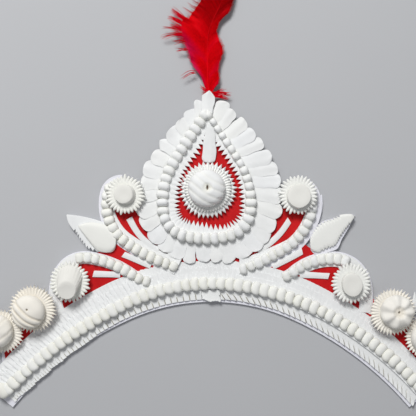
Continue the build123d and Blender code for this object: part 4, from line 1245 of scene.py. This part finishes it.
for number, (name, side, first_share, first_height, last_share, last_height, bow) in enumerate(stick_rows):
    sign = -1 if side == "left" else 1
    node = f"{name}_{side}"
    start = arch(sign * first_share, first_height * upper_lobe_height)
    end = arch(sign * last_share, last_height * upper_lobe_height)
    stick = stick_skin(start, end, sign * bow, floor_of(node), np.random.default_rng(90 + number))
    piece(node, "split", [stick], white_pith)

# Sliver at the right end: its foot and tip as share along the arch and height, its half width at the
# foot, its thickness and its crown
sliver_foot, sliver_tip = (0.749, 51.2), (0.705, 63.2)
sliver_half, sliver_thick, sliver_crown = 2.0, 0.6, 0.2


def sliver_skin():
    """Narrow pointed sliver: its width falls to nothing by the square of the way from foot to tip, and
    its face is crowned by a cosine."""
    way = np.linspace(0, 0.98, 20)[:, None]
    across = np.linspace(-1, 1, 7)
    foot, tip = arch(*sliver_foot), arch(*sliver_tip)
    ahead = (tip - foot) / np.linalg.norm(tip - foot)
    beside = np.array([-ahead[1], ahead[0]])
    out = sliver_half * (1 - way ** 2) * across
    place = foot + (tip - foot) * way[..., None] + beside * out[..., None]
    z = top_of("leaf_front_right") + sliver_crown * np.cos(across * np.pi / 2)
    return skin(cut_sheet(with_height(place, z)[None], sliver_thick), tone=0.1)


piece("end_sliver", "split", [sliver_skin()], white_pith)


# Feather

plume_length, plume_width = 106.0, 44.0
plume_foot = np.array([petal_shift, corner("plume", 0)[1]])
quill_samples = 400

# Quill: (share of plume_length, sideways share of plume_width)
quill_rows = (
    (0.0, -0.03), (0.058, -0.056), (0.272, -0.077), (0.326, -0.083), (0.380, -0.082), (0.433, -0.072),
    (0.487, -0.043), (0.541, 0.006), (0.594, 0.065), (0.675, 0.15), (0.82, 0.20), (1.0, 0.17),
)

# Reach of the vane sideways from the quill: (share of plume_length, left share, right share of plume_width)
vane_rows = (
    (0.058, 0.032, 0.129), (0.085, 0.065, 0.139), (0.111, 0.068, 0.183), (0.165, 0.118, 0.205),
    (0.219, 0.242, 0.186), (0.272, 0.318, 0.215), (0.326, 0.336, 0.286), (0.380, 0.427, 0.276),
    (0.433, 0.444, 0.210), (0.487, 0.546, 0.132), (0.541, 0.575, 0.124), (0.567, 0.462, 0.170),
    (0.594, 0.461, 0.218), (0.621, 0.457, 0.221), (0.675, 0.404, 0.210), (0.80, 0.32, 0.20),
    (0.90, 0.20, 0.15), (1.0, 0.04, 0.03),
)

# Colours of the feather: dark red for a tone of none and pink for one, and (tone, colour) in between
feather_ends = ((0.31, 0.0004, 0.002, 1), (0.80, 0.07, 0.18, 1))
feather_stops = (
    (0.35, (0.64, 0.0004, 0.004, 1)), (0.55, (0.84, 0.0005, 0.006, 1)), (0.8, (0.68, 0.006, 0.07, 1)),
)


def make_feather_material():
    """Dyed feather: the tone leads from dark red over bright red and magenta to pink, streaked by fine
    noise."""
    material, tree, surface = new_material("feather_red")
    link = tree.links.new
    tone = add_node(tree, "ShaderNodeAttribute", attribute_name="tone")
    ramp = add_node(tree, "ShaderNodeValToRGB")
    link(tone.outputs["Fac"], ramp.inputs["Fac"])
    for element, colour in zip(ramp.color_ramp.elements, feather_ends):
        element.color = colour
    for stop, colour in feather_stops:
        ramp.color_ramp.elements.new(stop).color = colour
    streak = add_node(tree, "ShaderNodeTexNoise", Scale=700.0, Detail=3.0)
    place = add_node(tree, "ShaderNodeTexCoord")
    link(place.outputs["Object"], streak.inputs["Vector"])
    mix = add_node(tree, "ShaderNodeMix", data_type="RGBA", blend_type="MULTIPLY")
    mix.inputs[0].default_value = 0.35
    link(ramp.outputs["Color"], mix.inputs[6])
    link(streak.outputs["Fac"], mix.inputs[7])
    link(mix.outputs[2], surface.inputs["Base Color"])
    bump = add_node(tree, "ShaderNodeBump", Strength=0.3, Distance=0.0002)
    link(streak.outputs["Fac"], bump.inputs["Height"])
    link(bump.outputs["Normal"], surface.inputs["Normal"])
    surface.inputs["Roughness"].default_value = 0.7
    surface.inputs["Specular IOR Level"].default_value = 0.04
    return material


feather_red = make_feather_material()


def quill_point(share):
    """Points on the quill and its headings there."""
    rows = np.array(quill_rows)
    fine = smooth_edge(np.stack([rows[:, 1] * plume_width, rows[:, 0] * plume_length], -1), quill_samples)
    at = np.interp(share, fine[:, 1] / plume_length, np.arange(quill_samples))
    low = np.clip(at.astype(int), 0, quill_samples - 2)
    part = (at - low)[..., None]
    slope = np.gradient(fine, axis=0)
    slope /= np.linalg.norm(slope, axis=1)[:, None]
    return plume_foot + fine[low] * (1 - part) + fine[low + 1] * part, slope[low]


# Shares of the quill between which the vane grows, barbs on each side, thickness of the web, rise of a
# barb's back, and heights of the web, the barbs and the fluff over the plume's lowest points
vane_span = (0.02, 0.985)
barb_count = 420
web_thick, barb_back = 0.15, 0.25
web_height, barb_height, fluff_height = 1.1, 1.05, 0.9


def barb_rings(root, ahead, tip, bend, thick, lift, arc):
    """Barbs from root to tip: each is a thin three sided blade that leaves along the quill, bends
    outwards by a half sine of the way, rises by another and ends in a point."""
    way = np.linspace(0, 1, 11)
    spot = root[:, None] + (tip - root)[:, None] * way[:, None]
    spot = spot + ahead[:, None] * (bend[:, None] * np.sin(np.pi * way) * (1 - 0.4 * way))[..., None]
    move = np.gradient(spot, axis=1)
    move /= np.linalg.norm(move, axis=-1, keepdims=True)
    beside = np.stack([-move[..., 1], move[..., 0]], -1)
    taper = 1 - 0.85 * way ** 2
    half = thick[:, None] * taper
    base = lift[:, None] + arc[:, None] * np.sin(way * np.pi)
    z = np.stack([base, base + barb_back * taper, base], -1)
    side = np.stack([-half, 0 * half, half], -1)
    flat = spot[:, :, None] + beside[:, :, None] * side[..., None]
    return with_height(flat, z), way


def vane_tips(share, sign):
    """Roots of barbs at shares of the quill, the headings there, their tips on the outline further up
    and their reach sideways. The longer the reach, the further up the tip lies, so both are found in
    two rounds."""
    least = 0.075 - 0.035 * share
    advance = least
    for _ in range(2):
        at = share + advance
        reach = np.where(sign < 0, column(vane_rows, at, 1), column(vane_rows, at, 2)) * plume_width
        advance = least + 0.42 * reach / plume_length
    root, ahead = quill_point(share)
    level = quill_point(np.minimum(share + advance, 1.0))[0]
    level[:, 1] += np.maximum(share + advance - 1.0, 0) * plume_length
    return root, ahead, level + np.stack([sign * reach, 0 * reach], -1), reach


def vane_tone(share, sign, way):
    """Tone of the vane: dark at the top, bright in the middle and pink towards the tips at the lower
    left."""
    broad = np.interp(share, (0.30, 0.42, 0.60), (0.52, 0.45, 0.10))
    broad = broad + 0.07 * np.sin(share * 37.0 + 2 * sign)
    left_pink = np.interp(share, (0.0, 0.12, 0.3, 0.42), (0.2, 0.5, 0.4, 0.0))
    right_pink = np.interp(share, (0.05, 0.2), (0.15, 0.0))
    return broad[:, None] + np.where(sign < 0, left_pink, right_pink)[:, None] * way ** 2


def vane_bend(reach):
    """How far a barb of some reach bends along the quill."""
    return 0.10 * reach + 1.0


def vane_ripple(share, sign):
    """Height of the vane's waves, a sine of the way along the quill that is shifted between its sides."""
    return 0.35 * np.sin(share * 23.0 + 1.5 * sign)


def vane_sheets():
    """Soft web under the barbs on each side: from the quill nearly to the tips, lying along the barbs'
    bend, and rippled by two crossing sines."""
    share = np.linspace(*vane_span, 150)
    way = np.linspace(0.0, 0.86, 16)
    webs = []
    for side in (-1.0, 1.0):
        sign = np.full(len(share), side)
        root, ahead, tip, reach = vane_tips(share, sign)
        flat = root[:, None] + (tip - root)[:, None] * way[:, None]
        bend = vane_bend(reach)[:, None] * np.sin(np.pi * way) * (1 - 0.4 * way)
        flat = flat + ahead[:, None] * bend[..., None]
        ripple = vane_ripple(share, side)[:, None] * np.sin(way * 3.0)
        ripple = ripple + 0.12 * np.sin(share * 61.0)[:, None] * way
        z = floor_of("plume") + web_height + ripple + 0.05 * reach[:, None] * np.sin(np.pi * way)
        rings = cut_sheet(with_height(flat, z)[None], web_thick)
        tone = vane_tone(share, sign, np.concatenate([way[:1], way, way[-1:], way[::-1]]))
        webs.append(skin(rings, tone=tone[None].clip(0, 1)))
    return webs


def vane_barbs(chance):
    """Close fine barbs on both sides of the quill, their tips on the outline of the vane. The fourth
    power of a sine draws them out in locks."""
    both = 2 * barb_count
    share = np.tile(np.linspace(*vane_span, barb_count), 2) + chance.normal(0, 0.001, both)
    share = share.clip(0.01, 0.99)
    sign = np.repeat([-1.0, 1.0], barb_count)
    root, ahead, tip, reach = vane_tips(share, sign)
    locks = np.where(sign < 0, np.interp(share, (0.2, 0.32, 0.52, 0.75), (0.03, 0.30, 0.30, 0.05)), 0.04)
    clump = 0.97 + locks * np.sin(share * 60.0 + 4 * np.sin(share * 11.0)) ** 4 + wobble(chance, both, 0.02)
    tip = root + (tip - root) * clump[:, None]
    ripple = vane_ripple(share, sign) * 0.6
    lift = floor_of("plume") + barb_height + ripple + chance.uniform(0.0, 0.18, both)
    thick = chance.uniform(0.16, 0.26, both)
    rings, way = barb_rings(root, ahead, tip, vane_bend(reach), thick, lift, 0.05 * reach)
    tone = vane_tone(share, sign, way) + chance.normal(0, 0.03, both)[:, None]
    return skin(rings, tone=np.repeat(tone.clip(0, 1)[..., None], 3, axis=-1))


# Loose strands of fluff: (share of plume_length and sideways share of plume_width at the root, then at
# the tip, bend in millimetres, number of hairs)
strand_rows = (
    (0.515, -0.36, 0.608, -0.65, 1.0, 26), (0.49, -0.40, 0.565, -0.70, 1.2, 18),
    (0.47, -0.42, 0.51, -0.68, 0.8, 14), (0.48, -0.48, 0.50, -0.80, 0.6, 7),
    (0.44, -0.46, 0.42, -0.82, 2.0, 7), (0.43, -0.42, 0.455, -0.64, 0.6, 12),
    (0.40, -0.40, 0.40, -0.62, 1.0, 10), (0.34, -0.40, 0.347, -0.59, 0.5, 6),
    (0.192, -0.28, 0.158, -0.50, 1.6, 5), (0.05, 0.0, 0.045, 0.28, 0.8, 14),
    (0.04, 0.0, 0.017, 0.25, 0.5, 12), (0.05, 0.02, 0.062, 0.20, 0.3, 10),
    (0.05, -0.05, 0.098, -0.19, 0.4, 9), (0.05, -0.05, 0.065, -0.16, 0.4, 9),
)


def fluff_skin(chance):
    """Hairs of the loose strands, scattered at root and tip."""
    rows = np.repeat(np.array(strand_rows), [row[-1] for row in strand_rows], axis=0)
    rows = rows[:, :5] + chance.normal(0, 0.011, (len(rows), 5)) * [0.6, 1.2, 1, 2, 30]
    size = np.array([plume_width, plume_length])
    root, tip = plume_foot + rows[:, 1::-1] * size, plume_foot + rows[:, 3:1:-1] * size
    ahead = np.broadcast_to([0.0, 1.0], root.shape)
    lift = floor_of("plume") + fluff_height + chance.uniform(0.0, 0.5, len(rows))
    thick = chance.uniform(0.16, 0.3, len(rows))
    rings = barb_rings(root, ahead, tip, rows[:, 4], thick, lift, np.full(len(rows), 0.5))[0]
    return skin(rings, tone=chance.uniform(0.3, 0.75, len(rows)))


def quill_skin():
    """Round quill whose radius falls as a power of the way left to its tip."""
    way = np.linspace(0.0, 1.0, 60)
    spot, ahead = quill_point(way)
    turn = full_turn(10)
    beside = np.stack([ahead[:, 1], -ahead[:, 0]], -1)
    size = (0.7 * (1 - way) ** 0.7 + 0.1)[:, None]
    flat = spot[:, None] + beside[:, None] * (size * np.cos(turn))[..., None]
    z = floor_of("plume") + web_height + size * np.sin(turn)
    fade = np.interp(way[None], (0.3, 0.5), (0.5, 0.2))
    return skin(with_height(flat, z)[None], tone=fade)


feather_chance = np.random.default_rng(100)
feather_skins = [*vane_sheets(), vane_barbs(feather_chance), fluff_skin(feather_chance), quill_skin()]
piece("plume", "barbs", feather_skins, feather_red, crease=80.0)


# Stage, light and camera

# Straight down: the camera's height, the middle of its view and half the view's width
camera_height = 480.0
view_middle = (-2.16, 52.3)
view_half = 149.76

floor_half, floor_drop = 3.0, 0.0003
floor_corners = ((-1, -1), (1, -1), (1, 1), (-1, 1))

floor_mesh = bpy.data.meshes.new("floor")
floor_mesh.from_pydata(
    [(x * floor_half, y * floor_half, -floor_drop) for x, y in floor_corners], [], [(0, 1, 2, 3)])
stage_floor = put_in_scene("floor", floor_mesh)


def make_floor_material():
    """Pale paper with a faint cloud."""
    material, tree, surface = new_material("floor_paper")
    place = add_node(tree, "ShaderNodeTexCoord")
    cloud = add_node(tree, "ShaderNodeTexNoise", Scale=4.0, Detail=3.0)
    tree.links.new(place.outputs["Object"], cloud.inputs["Vector"])
    mix = add_node(tree, "ShaderNodeMix", data_type="RGBA")
    tree.links.new(cloud.outputs["Fac"], mix.inputs[0])
    for socket, colour in ((6, (0.46, 0.47, 0.49, 1)), (7, (0.50, 0.51, 0.53, 1))):
        mix.inputs[socket].default_value = colour
    tree.links.new(mix.outputs[2], surface.inputs["Base Color"])
    surface.inputs["Roughness"].default_value = 0.9
    return material


floor_mesh.materials.append(make_floor_material())


def soft_light(name, azimuth, elevation, distance, size, power, colour):
    """Square lamp that faces the crown, placed by its azimuth clockwise from +Y and its elevation, in
    degrees."""
    lamp = bpy.data.lights.new(name, "AREA")
    lamp.shape = "SQUARE"
    lamp.size = size
    lamp.energy = power
    lamp.color = colour
    holder = put_in_scene(name, lamp)
    a, e = np.radians(azimuth), np.radians(elevation)
    direction = Vector((np.sin(a) * np.cos(e), np.cos(a) * np.cos(e), np.sin(e)))
    holder.location = Vector((view_middle[0] * metre, view_middle[1] * metre, 0)) + direction * distance
    holder.rotation_mode = "QUATERNION"
    holder.rotation_quaternion = direction.to_track_quat("Z", "Y")


cool_sky = (0.96, 0.97, 1.0)
soft_light("key_light", -20.0, 50.0, distance=1.4, size=0.42, power=17.0, colour=(1.0, 0.99, 0.975))
soft_light("fill_light", 150.0, 65.0, distance=1.6, size=1.2, power=1.8, colour=cool_sky)

world = bpy.data.worlds.new("studio")
world.use_nodes = True
sky = world.node_tree.nodes["Background"]
sky.inputs["Color"].default_value = (*cool_sky, 1.0)
sky.inputs["Strength"].default_value = 0.24
bpy.context.scene.world = world
bpy.context.scene.view_settings.view_transform = "Standard"

camera_data = bpy.data.cameras.new("camera")
camera_data.angle = 2 * np.arctan(view_half / camera_height)
camera_data.clip_end = 10.0
camera = put_in_scene("camera", camera_data)
camera.location = (view_middle[0] * metre, view_middle[1] * metre, camera_height * metre)
bpy.context.scene.camera = camera
